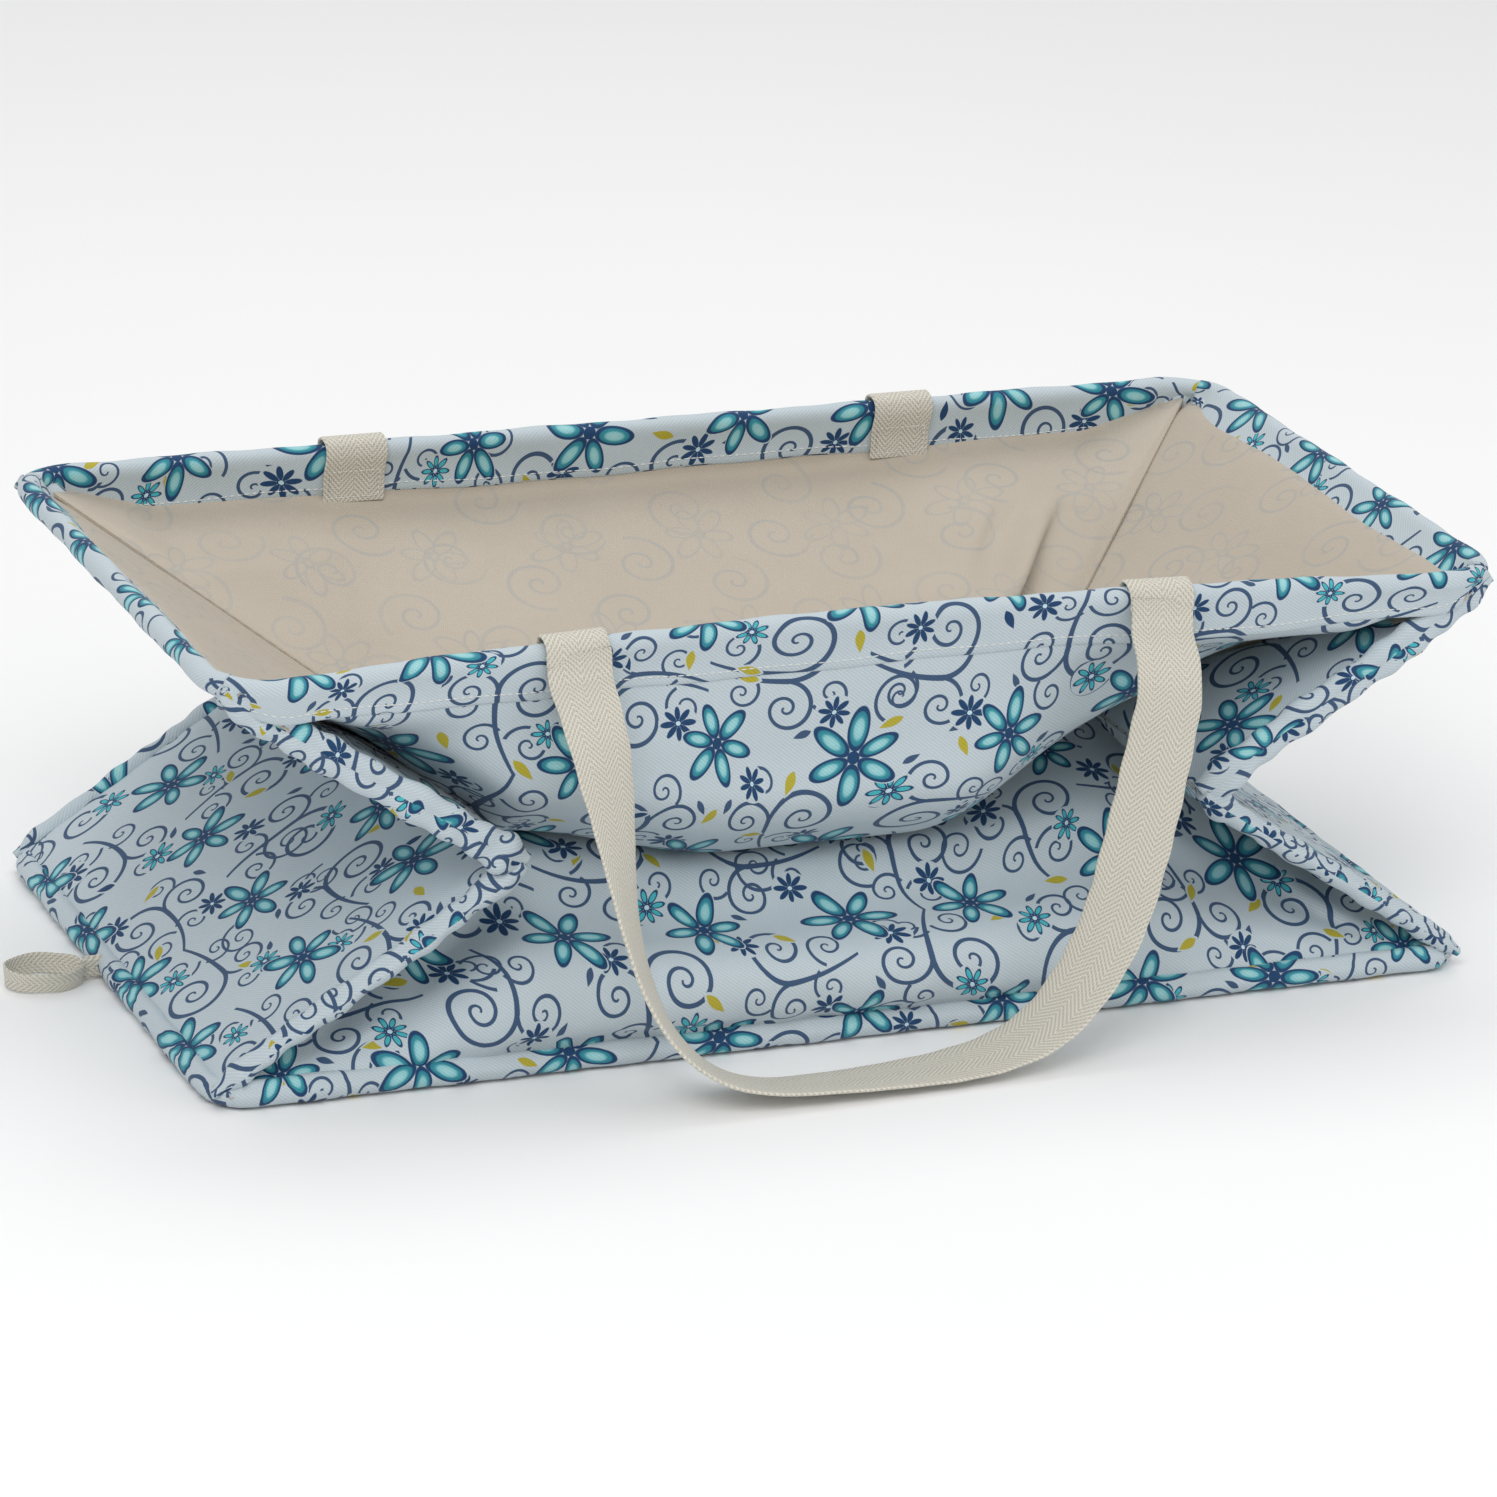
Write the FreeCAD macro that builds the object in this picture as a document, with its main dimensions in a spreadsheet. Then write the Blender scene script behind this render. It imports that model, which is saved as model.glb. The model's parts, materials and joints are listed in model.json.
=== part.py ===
import FreeCAD, Part
import math
import os
import Sketcher

# Collapsible fabric tote: a boarded base, two boarded end panels that each
# fold inwards at mid height, soft long walls that tuck in between them, and a
# closed spring-wire rim carried in fabric hems.  Millimetres, +Z up.
# Origin: middle of the underside.  X runs along the long side, Y across.

V = FreeCAD.Vector
os.makedirs("parts", exist_ok=True)
doc = FreeCAD.newDocument("FoldingTote")

# ---------------------------------------------------------------- dimensions
rim_len, rim_wid = 600.0, 300.0          # wire centre line, long and short side
panel_len, span_rest, hinge_z = 165.0, 183.0, 7.0
fold_deg = math.degrees(math.acos(span_rest / 2.0 / panel_len))
pleat_deg = math.degrees(math.atan(math.sin(math.radians(fold_deg))))

SIZES = [
    ("rim_len", rim_len), ("rim_wid", rim_wid), ("panel_len", panel_len),
    ("span_rest", span_rest), ("hinge_z", hinge_z), ("fold_deg", fold_deg),
    ("pleat_deg", pleat_deg),
    ("wire_dia", 5.0), ("wire_corner", 25.0), ("ferrule_len", 26.0),
    ("board_thk", 3.0), ("cloth_thk", 1.2), ("soft_thk", 1.25),
    ("base_cloth_thk", 1.5), ("piping_dia", 6.0), ("piping_corner", 14.0),
    ("base_gap", 14.0), ("crease_gap", 14.0), ("rim_gap", 28.0),
    ("rib_dia", 9.0), ("rib_inset", 9.0), ("rib_crease_gap", 24.0),
    ("rib_base_gap", 22.0), ("rib_rim_gap", 32.0),
    ("wall_mitre", 41.0), ("wall_reach", 140.0), ("wall_rim_gap", 37.0),
    ("hem_drop", 24.0), ("hem_half_long", 270.0), ("hem_half_short", 118.0),
    ("hem_out_dia", 8.4), ("hem_in_dia", 6.0), ("hem_ply", 2.4),
    ("band_half", 190.0), ("band_clear", 4.6),
    ("strap_wid", 30.0), ("strap_thk", 2.4), ("strap_at", 138.0),
    ("strap_reach", 191.0), ("strap_lean_deg", 13.6), ("strap_start", 10.0),
    ("front_reach", 196.0), ("front_lean_deg", 18.4), ("rim_bow", 22.0),
    ("anchor_drop", 28.0), ("anchor_thk", 2.0),
    ("loop_wid", 20.0), ("loop_len", 40.0), ("loop_thk", 2.0),
    ("pleat_from", 104.0), ("pleat_to", 155.0), ("pleat_in", 20.0),
    ("pleat_out", 29.0), ("pleat_thk", 0.8), ("pleat_lift", 4.4),
]
sheet = doc.addObject("Spreadsheet::Sheet", "Sizes")
for row, (alias, value) in enumerate(SIZES, start=1):
    sheet.set("A%d" % row, alias)
    sheet.set("B%d" % row, repr(float(value)))
    sheet.setAlias("B%d" % row, alias)
doc.recompute()


def val(alias):
    return float(sheet.get(alias))


S, C = math.sin(math.radians(val("fold_deg"))), math.cos(math.radians(val("fold_deg")))
OUT = []


def frame(origin, xdir, ydir):
    """Placement whose local x and y point along xdir and ydir."""
    x = V(*xdir); x.normalize()
    y = V(*ydir); y = y - x * (y.dot(x)); y.normalize()
    z = x.cross(y)
    m = FreeCAD.Matrix(x.x, y.x, z.x, origin[0], x.y, y.y, z.y, origin[1],
                       x.z, y.z, z.z, origin[2], 0, 0, 0, 1)
    return FreeCAD.Placement(m)


def plane_of(body, role):
    for f in body.Origin.OriginFeatures:
        if f.Role == role:
            return f
    raise RuntimeError(role)


def new_body(label):
    body = doc.addObject("PartDesign::Body", label)
    body.Label = label
    return body


def sketch_on(body, name, role, z=0.0, zexpr=None):
    sk = body.newObject("Sketcher::SketchObject", name)
    sk.AttachmentSupport = (plane_of(body, role), [""])
    sk.MapMode = "FlatFace"
    sk.AttachmentOffset = FreeCAD.Placement(V(0, 0, z), FreeCAD.Rotation())
    if zexpr:
        sk.setExpression("AttachmentOffset.Base.z", zexpr)
    return sk


def num(expr):
    """Number of a size written as text with sheet aliases."""
    env = {a: val(a) for a, _ in SIZES}
    out = expr
    for a in sorted(env, key=len, reverse=True):
        out = out.replace("Sizes." + a, repr(env[a]))
    total = 0.0
    # only sums and differences of number * number or number / number terms
    for sign, term in terms(out):
        total += sign * product(term)
    return total


def terms(text):
    text = text.replace(" ", "")
    parts, cur, sign = [], "", 1.0
    for i, ch in enumerate(text):
        if ch in "+-" and cur:
            parts.append((sign, cur)); cur = ""; sign = 1.0 if ch == "+" else -1.0
        elif ch in "+-":
            sign = sign * (1.0 if ch == "+" else -1.0)
        else:
            cur += ch
    parts.append((sign, cur))
    return parts


def product(text):
    value = 1.0
    for i, fac in enumerate(text.split("*")):
        bits = fac.split("/")
        v = float(bits[0])
        for b in bits[1:]:
            v /= float(b)
        value *= v
    return value


def outline(sk, pts, tag="p"):
    """Closed straight-sided outline; each corner is bound to the sheet."""
    n = len(pts)
    xy = [(num(a), num(b)) for a, b in pts]
    ids = []
    for i in range(n):
        j = (i + 1) % n
        ids.append(sk.addGeometry(Part.LineSegment(V(xy[i][0], xy[i][1], 0), V(xy[j][0], xy[j][1], 0)), False))
    for i in range(n):
        sk.addConstraint(Sketcher.Constraint("Coincident", ids[i], 2, ids[(i + 1) % n], 1))
    for i in range(n):
        for kind, k in (("DistanceX", 0), ("DistanceY", 1)):
            c = sk.addConstraint(Sketcher.Constraint(kind, -1, 1, ids[i], 1, xy[i][k]))
            name = "%s%s%d" % (tag, "xy"[k], i)
            sk.renameConstraint(c, name)
            sk.setExpression("Constraints." + name, pts[i][k])
    return ids


def circle(sk, cx, cy, dia_expr, name="dia"):
    g = sk.addGeometry(Part.Circle(V(num(cx), num(cy), 0), V(0, 0, 1), num(dia_expr) / 2.0), False)
    c = sk.addConstraint(Sketcher.Constraint("Diameter", g, num(dia_expr)))
    sk.renameConstraint(c, name)
    sk.setExpression("Constraints." + name, dia_expr)
    c = sk.addConstraint(Sketcher.Constraint("DistanceX", -1, 1, g, 3, num(cx)))
    sk.renameConstraint(c, name + "cx"); sk.setExpression("Constraints." + name + "cx", cx)
    c = sk.addConstraint(Sketcher.Constraint("DistanceY", -1, 1, g, 3, num(cy)))
    sk.renameConstraint(c, name + "cy"); sk.setExpression("Constraints." + name + "cy", cy)
    return g


def pad(body, sk, expr, midplane=False, name="Pad"):
    p = body.newObject("PartDesign::Pad", name)
    p.Profile = sk
    p.Length = num(expr)
    p.setExpression("Length", expr)
    if midplane:
        p.SideType = "Symmetric" if hasattr(p, "SideType") else None
        if not hasattr(p, "SideType"):
            p.Midplane = True
    return p


def slab(label, pts, z_expr, thk_expr, place, round_corners=0.0):
    """Flat panel: outline in local x, y; from local z, thickness upwards."""
    body = new_body(label)
    sk = sketch_on(body, label + "_sk", "XY_Plane", num(z_expr), z_expr)
    outline(sk, pts)
    p = pad(body, sk, thk_expr, name=label + "_pad")
    doc.recompute()
    if round_corners > 0:
        edges = []
        for i, e in enumerate(p.Shape.Edges, start=1):
            a, b = e.Vertexes[0].Point, e.Vertexes[-1].Point
            if abs((a - b).Length - num(thk_expr)) < 1e-6 and abs(abs(a.z - b.z) - num(thk_expr)) < 1e-6:
                edges.append("Edge%d" % i)
        f = body.newObject("PartDesign::Fillet", label + "_corners")
        f.Base = (p, edges)
        f.Radius = round_corners
        body.Tip = f
    body.Placement = place
    OUT.append(body)
    return body


def rod(label, dia_expr, x0, x1, y, place):
    """Round bar along local x with rounded ends."""
    body = new_body(label)
    sk = sketch_on(body, label + "_sk", "YZ_Plane", num(x0), x0)
    circle(sk, y, "0.0", dia_expr)
    pad(body, sk, "%s - %s" % (x1, x0), name=label + "_pad")
    doc.recompute()
    p = body.Tip
    edges = ["Edge%d" % (i + 1) for i, e in enumerate(p.Shape.Edges) if e.Curve.TypeId == "Part::GeomCircle"]
    f = body.newObject("PartDesign::Fillet", label + "_round")
    f.Base = (p, edges)
    f.Radius = num(dia_expr) * 0.45
    f.setExpression("Radius", dia_expr + " * 0.45")
    body.Tip = f
    body.Placement = place
    OUT.append(body)
    return body


# ------------------------------------------------------------------- the base
# Underside cloth, stiff board and lining stacked; a corded seam runs round
# the edge where the walls are sewn on.
def plate(label, inset, z_expr, thk_expr):
    hx = "Sizes.rim_len / 2 - %s" % inset
    hy = "Sizes.rim_wid / 2 - %s" % inset
    pts = [("%s - Sizes.rim_len / 2" % inset, "%s - Sizes.rim_wid / 2" % inset), (hx, "%s - Sizes.rim_wid / 2" % inset),
           (hx, hy), ("%s - Sizes.rim_len / 2" % inset, hy)]
    return slab(label, pts, z_expr, thk_expr, FreeCAD.Placement(), 9.0)


plate("base_cloth", "5.5", "0.0", "Sizes.base_cloth_thk")
plate("base_board", "12.0", "Sizes.base_cloth_thk", "Sizes.board_thk")
plate("base_lining", "7.0", "Sizes.base_cloth_thk + Sizes.board_thk", "Sizes.cloth_thk")


def rounded_loop(sk, hx, hy, r):
    """Rounded rectangle centre line."""
    k = r * math.sqrt(0.5)
    P = lambda x, y: V(x, y, 0)
    segs = [Part.LineSegment(P(-hx + r, -hy), P(hx - r, -hy)),
            Part.Arc(P(hx - r, -hy), P(hx - r + k, -hy + r - k), P(hx, -hy + r)),
            Part.LineSegment(P(hx, -hy + r), P(hx, hy - r)),
            Part.Arc(P(hx, hy - r), P(hx - r + k, hy - r + k), P(hx - r, hy)),
            Part.LineSegment(P(hx - r, hy), P(-hx + r, hy)),
            Part.Arc(P(-hx + r, hy), P(-hx + r - k, hy - r + k), P(-hx, hy - r)),
            Part.LineSegment(P(-hx, hy - r), P(-hx, -hy + r)),
            Part.Arc(P(-hx, -hy + r), P(-hx + r - k, -hy + r - k), P(-hx + r, -hy))]
    for s in segs:
        sk.addGeometry(s, False)


def loop_pipe(label, hx, hy, r, z_expr, dia_expr):
    body = new_body(label)
    path = sketch_on(body, label + "_path", "XY_Plane", num(z_expr), z_expr)
    rounded_loop(path, hx, hy, r)
    prof = sketch_on(body, label + "_section", "YZ_Plane")
    circle(prof, "%r" % (-hy), z_expr, dia_expr)
    doc.recompute()
    pipe = body.newObject("PartDesign::AdditivePipe", label + "_pipe")
    pipe.Profile = prof
    pipe.Spine = (path, ["Edge%d" % (i + 1) for i in range(8)])
    pipe.Mode = "Frenet" if "Frenet" in pipe.getEnumerationsOfProperty("Mode") else "Standard"
    pipe.Transition = "Round corner"
    OUT.append(body)
    return body


loop_pipe("base_seam_piping", rim_len / 2 - 2, rim_wid / 2 - 2, val("piping_corner"), "Sizes.piping_dia / 2", "Sizes.piping_dia")

# -------------------------------------------------------------------- the rim
RZ = "Sizes.hinge_z + Sizes.span_rest"
rz = num(RZ)

# The front side of the rim is sprung inwards in one long arc.  The corner
# bends turn a little past the right angle so that they run tangent into it.
wire_r = val("wire_corner")
bow_x0 = rim_len / 2 - wire_r
bow_ang = 2.0 * math.atan(val("rim_bow") / bow_x0)
for _ in range(40):                      # end slope that gives the stated bow
    ex = bow_x0 - wire_r * math.sin(bow_ang)
    bow_r = ex / math.sin(bow_ang)
    got = bow_r * (1 - math.cos(bow_ang)) + wire_r * (1 - math.cos(bow_ang))
    bow_ang *= val("rim_bow") / got
ey = -(rim_wid / 2 - wire_r) - wire_r * math.cos(bow_ang)
bow_cy = ey - bow_r * math.cos(bow_ang)


def front_y(x):
    """Height of the wire centre line's front side across the tote."""
    return bow_cy + math.sqrt(bow_r * bow_r - x * x)


def bowed_loop(sk):
    hx, hy, r = rim_len / 2, rim_wid / 2, wire_r
    k = r * math.sqrt(0.5)
    P = lambda x, y: V(x, y, 0)
    cx, cy = hx - r, -hy + r
    am = (math.pi / 2 + bow_ang) / 2.0
    segs = [Part.Arc(P(-ex, ey), P(0, front_y(0)), P(ex, ey)),
            Part.Arc(P(ex, ey), P(cx + r * math.cos(am), cy - r * math.sin(am)), P(hx, cy)),
            Part.LineSegment(P(hx, -hy + r), P(hx, hy - r)),
            Part.Arc(P(hx, hy - r), P(hx - r + k, hy - r + k), P(hx - r, hy)),
            Part.LineSegment(P(hx - r, hy), P(-hx + r, hy)),
            Part.Arc(P(-hx + r, hy), P(-hx + r - k, hy - r + k), P(-hx, hy - r)),
            Part.LineSegment(P(-hx, hy - r), P(-hx, -hy + r)),
            Part.Arc(P(-hx, cy), P(-cx - r * math.cos(am), cy - r * math.sin(am)), P(-ex, ey))]
    for g in segs:
        sk.addGeometry(g, False)


body = new_body("rim_wire")
path = sketch_on(body, "rim_wire_path", "XY_Plane", rz, RZ)
bowed_loop(path)
prof = sketch_on(body, "rim_wire_section", "YZ_Plane")
circle(prof, "%r" % front_y(0), RZ, "Sizes.wire_dia")
doc.recompute()
pipe = body.newObject("PartDesign::AdditivePipe", "rim_wire_pipe")
pipe.Profile = prof
pipe.Spine = (path, ["Edge%d" % (i + 1) for i in range(8)])
pipe.Mode = "Frenet" if "Frenet" in pipe.getEnumerationsOfProperty("Mode") else "Standard"
pipe.Transition = "Round corner"
OUT.append(body)

# crimp sleeve joining the wire ends, middle of the back side
body = new_body("rim_ferrule")
sk = sketch_on(body, "rim_ferrule_sk", "YZ_Plane", -val("ferrule_len") / 2, "-Sizes.ferrule_len / 2")
circle(sk, "0.0", "0.0", "Sizes.wire_dia + 0.9", "outer")
circle(sk, "0.0", "0.0", "Sizes.wire_dia + 0.1", "inner")
pad(body, sk, "Sizes.ferrule_len", name="rim_ferrule_pad")
body.Placement = FreeCAD.Placement(V(0, rim_wid / 2, rz), FreeCAD.Rotation())
OUT.append(body)


# Hem: a cloth tube round the wire with two plies hanging below it.
# Local x runs along the wire and local y points down the band.
def hem(label, half_expr, place):
    body = new_body(label)
    sk = sketch_on(body, label + "_sk", "YZ_Plane", -num(half_expr), "-%s" % half_expr)
    ro, hp = num("Sizes.hem_out_dia") / 2, num("Sizes.hem_ply") / 2
    y0 = math.sqrt(ro * ro - hp * hp)
    drop = val("hem_drop")
    a0 = math.atan2(hp, y0)
    arc = Part.ArcOfCircle(Part.Circle(V(0, 0, 0), V(0, 0, 1), ro), a0, 2 * math.pi - a0)
    g0 = sk.addGeometry(arc, False)
    g1 = sk.addGeometry(Part.LineSegment(V(y0, -hp, 0), V(drop, -hp, 0)), False)
    g2 = sk.addGeometry(Part.LineSegment(V(drop, -hp, 0), V(drop, hp, 0)), False)
    g3 = sk.addGeometry(Part.LineSegment(V(drop, hp, 0), V(y0, hp, 0)), False)
    for a, pa, b, pb in ((g0, 2, g1, 1), (g1, 2, g2, 1), (g2, 2, g3, 1), (g3, 2, g0, 1)):
        sk.addConstraint(Sketcher.Constraint("Coincident", a, pa, b, pb))
    sk.addConstraint(Sketcher.Constraint("Coincident", g0, 3, -1, 1))
    for g in (g1, g3):
        sk.addConstraint(Sketcher.Constraint("Horizontal", g))
    sk.addConstraint(Sketcher.Constraint("Vertical", g2))
    for kind, args, name, expr in (("Diameter", (g0,), "tube", "Sizes.hem_out_dia"),
                                   ("DistanceX", (-1, 1, g2, 1), "drop", "Sizes.hem_drop"),
                                   ("DistanceY", (-1, 1, g3, 1), "ply", "Sizes.hem_ply / 2"),
                                   ("DistanceY", (g2, 1, g2, 2), "plies", "Sizes.hem_ply")):
        c = sk.addConstraint(Sketcher.Constraint(kind, *args, num(expr)))
        sk.renameConstraint(c, name)
        sk.setExpression("Constraints." + name, expr)
    p = pad(body, sk, "2 * %s" % half_expr, name=label + "_pad")
    doc.recompute()
    bore = sketch_on(body, label + "_bore_sk", "YZ_Plane", -num(half_expr), "-%s" % half_expr)
    circle(bore, "0.0", "0.0", "Sizes.hem_in_dia")
    cut = body.newObject("PartDesign::Pocket", label + "_channel")
    cut.Profile = bore
    cut.Length = 2 * num(half_expr)
    cut.setExpression("Length", "2 * %s" % half_expr)
    cut.Reversed = True
    doc.recompute()
    if cut.Shape.Volume > p.Shape.Volume - 1.0:
        cut.Reversed = False
        doc.recompute()
    body.Placement = place
    OUT.append(body)
    return body




def bowed_hem(label):
    """The front hem, its section turned about the centre of the rim's front arc."""
    body = new_body(label)
    sk = sketch_on(body, label + "_sk", "YZ_Plane")
    ro, hp = num("Sizes.hem_out_dia") / 2, num("Sizes.hem_ply") / 2
    y0 = math.sqrt(ro * ro - hp * hp)
    drop = val("hem_drop")
    a0 = math.atan2(hp, y0)
    w = bow_r                                   # sketch x is the distance from the axis
    arc = Part.ArcOfCircle(Part.Circle(V(w, 0, 0), V(0, 0, 1), ro), a0 - math.pi / 2, 1.5 * math.pi - a0)
    g0 = sk.addGeometry(arc, False)
    g1 = sk.addGeometry(Part.LineSegment(V(w - hp, -y0, 0), V(w - hp, -drop, 0)), False)
    g2 = sk.addGeometry(Part.LineSegment(V(w - hp, -drop, 0), V(w + hp, -drop, 0)), False)
    g3 = sk.addGeometry(Part.LineSegment(V(w + hp, -drop, 0), V(w + hp, -y0, 0)), False)
    for a, pa, b, pb in ((g0, 2, g1, 1), (g1, 2, g2, 1), (g2, 2, g3, 1), (g3, 2, g0, 1)):
        sk.addConstraint(Sketcher.Constraint("Coincident", a, pa, b, pb))
    sk.addConstraint(Sketcher.Constraint("DistanceX", -1, 1, g0, 3, w))
    sk.addConstraint(Sketcher.Constraint("DistanceY", -1, 1, g0, 3, 0.0))
    for g in (g1, g3):
        sk.addConstraint(Sketcher.Constraint("Vertical", g))
    sk.addConstraint(Sketcher.Constraint("Horizontal", g2))
    for kind, args, name, expr in (("Diameter", (g0,), "tube", "Sizes.hem_out_dia"),
                                   ("DistanceY", (g2, 1, -1, 1), "drop", "Sizes.hem_drop"),
                                   ("DistanceX", (g2, 1, g2, 2), "plies", "Sizes.hem_ply"),
                                   ("DistanceX", (g0, 3, g3, 1), "ply", "Sizes.hem_ply / 2")):
        c = sk.addConstraint(Sketcher.Constraint(kind, *args, num(expr)))
        sk.renameConstraint(c, name)
        sk.setExpression("Constraints." + name, expr)
    circle(sk, "%r" % w, "0.0", "Sizes.hem_in_dia", "channel")
    rev = body.newObject("PartDesign::Revolution", label + "_turn")
    rev.Profile = sk
    rev.ReferenceAxis = (sk, ["V_Axis"])
    rev.Angle = 2.0 * math.degrees(math.asin(val("hem_half_long") / bow_r))
    rev.setExpression("Angle", "2 * asin(Sizes.hem_half_long / %r)" % bow_r)
    if hasattr(rev, "Midplane"):
        rev.Midplane = True
    doc.recompute()
    # Past the bow the band stops, so that the end panels' edge ribs can rise
    # beside the tube when the tote folds.
    ends = sketch_on(body, label + "_ends_sk", "XZ_Plane", -w)
    x0, x1 = val("band_half"), val("hem_half_long") + 30.0
    t, d = -val("band_clear"), -val("hem_drop") - 10.0
    for sg in (-1.0, 1.0):
        first = ends.GeometryCount
        c = [V(sg * x0, t, 0), V(sg * x1, t, 0), V(sg * x1, d, 0), V(sg * x0, d, 0)]
        for i in range(4):
            ends.addGeometry(Part.LineSegment(c[i], c[(i + 1) % 4]), False)
        for i in range(4):
            ends.addConstraint(Sketcher.Constraint("Coincident", first + i, 2, first + (i + 1) % 4, 1))
        for i in (0, 2):
            ends.addConstraint(Sketcher.Constraint("Horizontal", first + i))
            ends.addConstraint(Sketcher.Constraint("Vertical", first + i + 1))
    cut = body.newObject("PartDesign::Pocket", label + "_ends")
    cut.Profile = ends
    cut.Midplane = True
    cut.Length = 120.0
    body.Placement = FreeCAD.Placement(V(0, bow_cy, rz), FreeCAD.Rotation())
    OUT.append(body)


bowed_hem("hem_front")
hem("hem_back", "Sizes.hem_half_long", frame((0, rim_wid / 2, rz), (1, 0, 0), (0, 0, -1)))
hem("hem_left", "Sizes.hem_half_short", frame((-rim_len / 2, 0, rz), (0, 1, 0), (S, 0, -C)))
hem("hem_right", "Sizes.hem_half_short", frame((rim_len / 2, 0, rz), (0, 1, 0), (-S, 0, -C)))

# --------------------------------------------------- boarded end-panel halves
def end_half(name, inward, lower):
    up = 1.0 if lower else -1.0
    hinge = (-inward * rim_len / 2, 0, hinge_z if lower else rz)
    u = V(inward * S, 0, up * C)                 # hinge to crease
    n = V(inward * C, 0, -up * S)                # towards the inside of the tote
    v = n.cross(u)
    place = frame(hinge, tuple(u), tuple(v))
    start = "Sizes.base_gap" if lower else "Sizes.rim_gap"
    stop = "Sizes.panel_len - Sizes.crease_gap"
    half = "Sizes.rim_wid / 2 - Sizes.rib_inset - Sizes.rib_dia / 2 - 1.0"
    nhalf = "Sizes.rib_inset + Sizes.rib_dia / 2 + 1.0 - Sizes.rim_wid / 2"
    full = [(start, nhalf), (stop, nhalf), (stop, half), (start, half)]
    inner = [("%s + 2.0" % start, "%s + 3.0" % nhalf), ("%s - 2.0" % stop, "%s + 3.0" % nhalf),
             ("%s - 2.0" % stop, "%s - 3.0" % half), ("%s + 2.0" % start, "%s - 3.0" % half)]
    slab(name + "_cloth", full, "-Sizes.board_thk / 2 - Sizes.cloth_thk", "Sizes.cloth_thk", place, 3.0)
    slab(name + "_board", inner, "-Sizes.board_thk / 2", "Sizes.board_thk", place, 6.0)
    slab(name + "_lining", full, "Sizes.board_thk / 2", "Sizes.cloth_thk", place, 3.0)
    r0 = "Sizes.rib_base_gap" if lower else "Sizes.rib_rim_gap"
    for tag, sgn in (("front", -1.0), ("back", 1.0)):
        s2 = sgn * (1.0 if v.y > 0 else -1.0)
        y = "Sizes.rim_wid / 2 - Sizes.rib_inset" if s2 > 0 else "Sizes.rib_inset - Sizes.rim_wid / 2"
        rod("%s_rib_%s" % (name, tag), "Sizes.rib_dia", r0, "Sizes.panel_len - Sizes.rib_crease_gap", y, place)


end_half("left_lower", 1.0, True)
end_half("left_upper", 1.0, False)
end_half("right_lower", -1.0, True)
end_half("right_upper", -1.0, False)


# --------------------------------------------------------- soft long-wall halves
def wall_half(name, inward, lower):
    up = 1.0 if lower else -1.0
    hinge = (0, -inward * rim_wid / 2, hinge_z if lower else rz)
    u = V(0, inward * S, up * C)
    n = V(0, inward * C, -up * S)
    v = n.cross(u)
    place = frame(hinge, tuple(u), tuple(v))
    start = "Sizes.base_gap" if lower else "Sizes.wall_rim_gap"
    stop = "Sizes.wall_reach"
    pts = [(start, "Sizes.wall_mitre + %s - Sizes.rim_len / 2" % start),
           (stop, "Sizes.wall_mitre + %s - Sizes.rim_len / 2" % stop),
           (stop, "Sizes.rim_len / 2 - Sizes.wall_mitre - %s" % stop),
           (start, "Sizes.rim_len / 2 - Sizes.wall_mitre - %s" % start)]
    slab(name + "_cloth", pts, "-Sizes.soft_thk", "Sizes.soft_thk", place, 4.0)
    slab(name + "_lining", pts, "0.0", "Sizes.soft_thk", place, 4.0)


wall_half("front_lower", 1.0, True)
wall_half("front_upper", 1.0, False)
wall_half("back_lower", -1.0, True)
wall_half("back_upper", -1.0, False)


# ------------------------------------------------------------- corner pleats
# Each wall half carries a pleat at either end that lies against the boarded
# half beside it.  Local x runs down the pleat's fold, local y away from it.
def pleat(name, side_y, side_x, lower):
    up = 1.0 if lower else -1.0
    corner = (side_x * rim_len / 2, side_y * rim_wid / 2, hinge_z if lower else rz)
    b = math.radians(val("pleat_deg"))
    sb, cb = math.sin(b), math.cos(b)
    c = V(-side_x * sb, -side_y * cb * S, up * cb * C)       # fold line
    e = V(-side_x * S, 0, up * C)                            # sewn edge
    n = V(-side_x * C, 0, -up * S)                           # off the board, inwards
    place = frame(corner, tuple(c), tuple(e))
    z = c.cross((e - c * e.dot(c)))
    lift = "Sizes.pleat_lift" if z.dot(n) > 0 else "-Sizes.pleat_lift - Sizes.pleat_thk"
    pts = [("Sizes.pleat_from", "Sizes.pleat_in"), ("Sizes.pleat_to", "Sizes.pleat_in"),
           ("Sizes.pleat_to", "Sizes.pleat_out"), ("Sizes.pleat_from", "Sizes.pleat_out")]
    slab(name, pts, lift, "Sizes.pleat_thk", place, 2.0)


for ys, yn in ((-1.0, "front"), (1.0, "back")):
    for xs, xn in ((-1.0, "left"), (1.0, "right")):
        for lower, ln in ((True, "lower"), (False, "upper")):
            pleat("%s_%s_%s_pleat" % (yn, xn, ln), ys, xs, lower)


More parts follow.
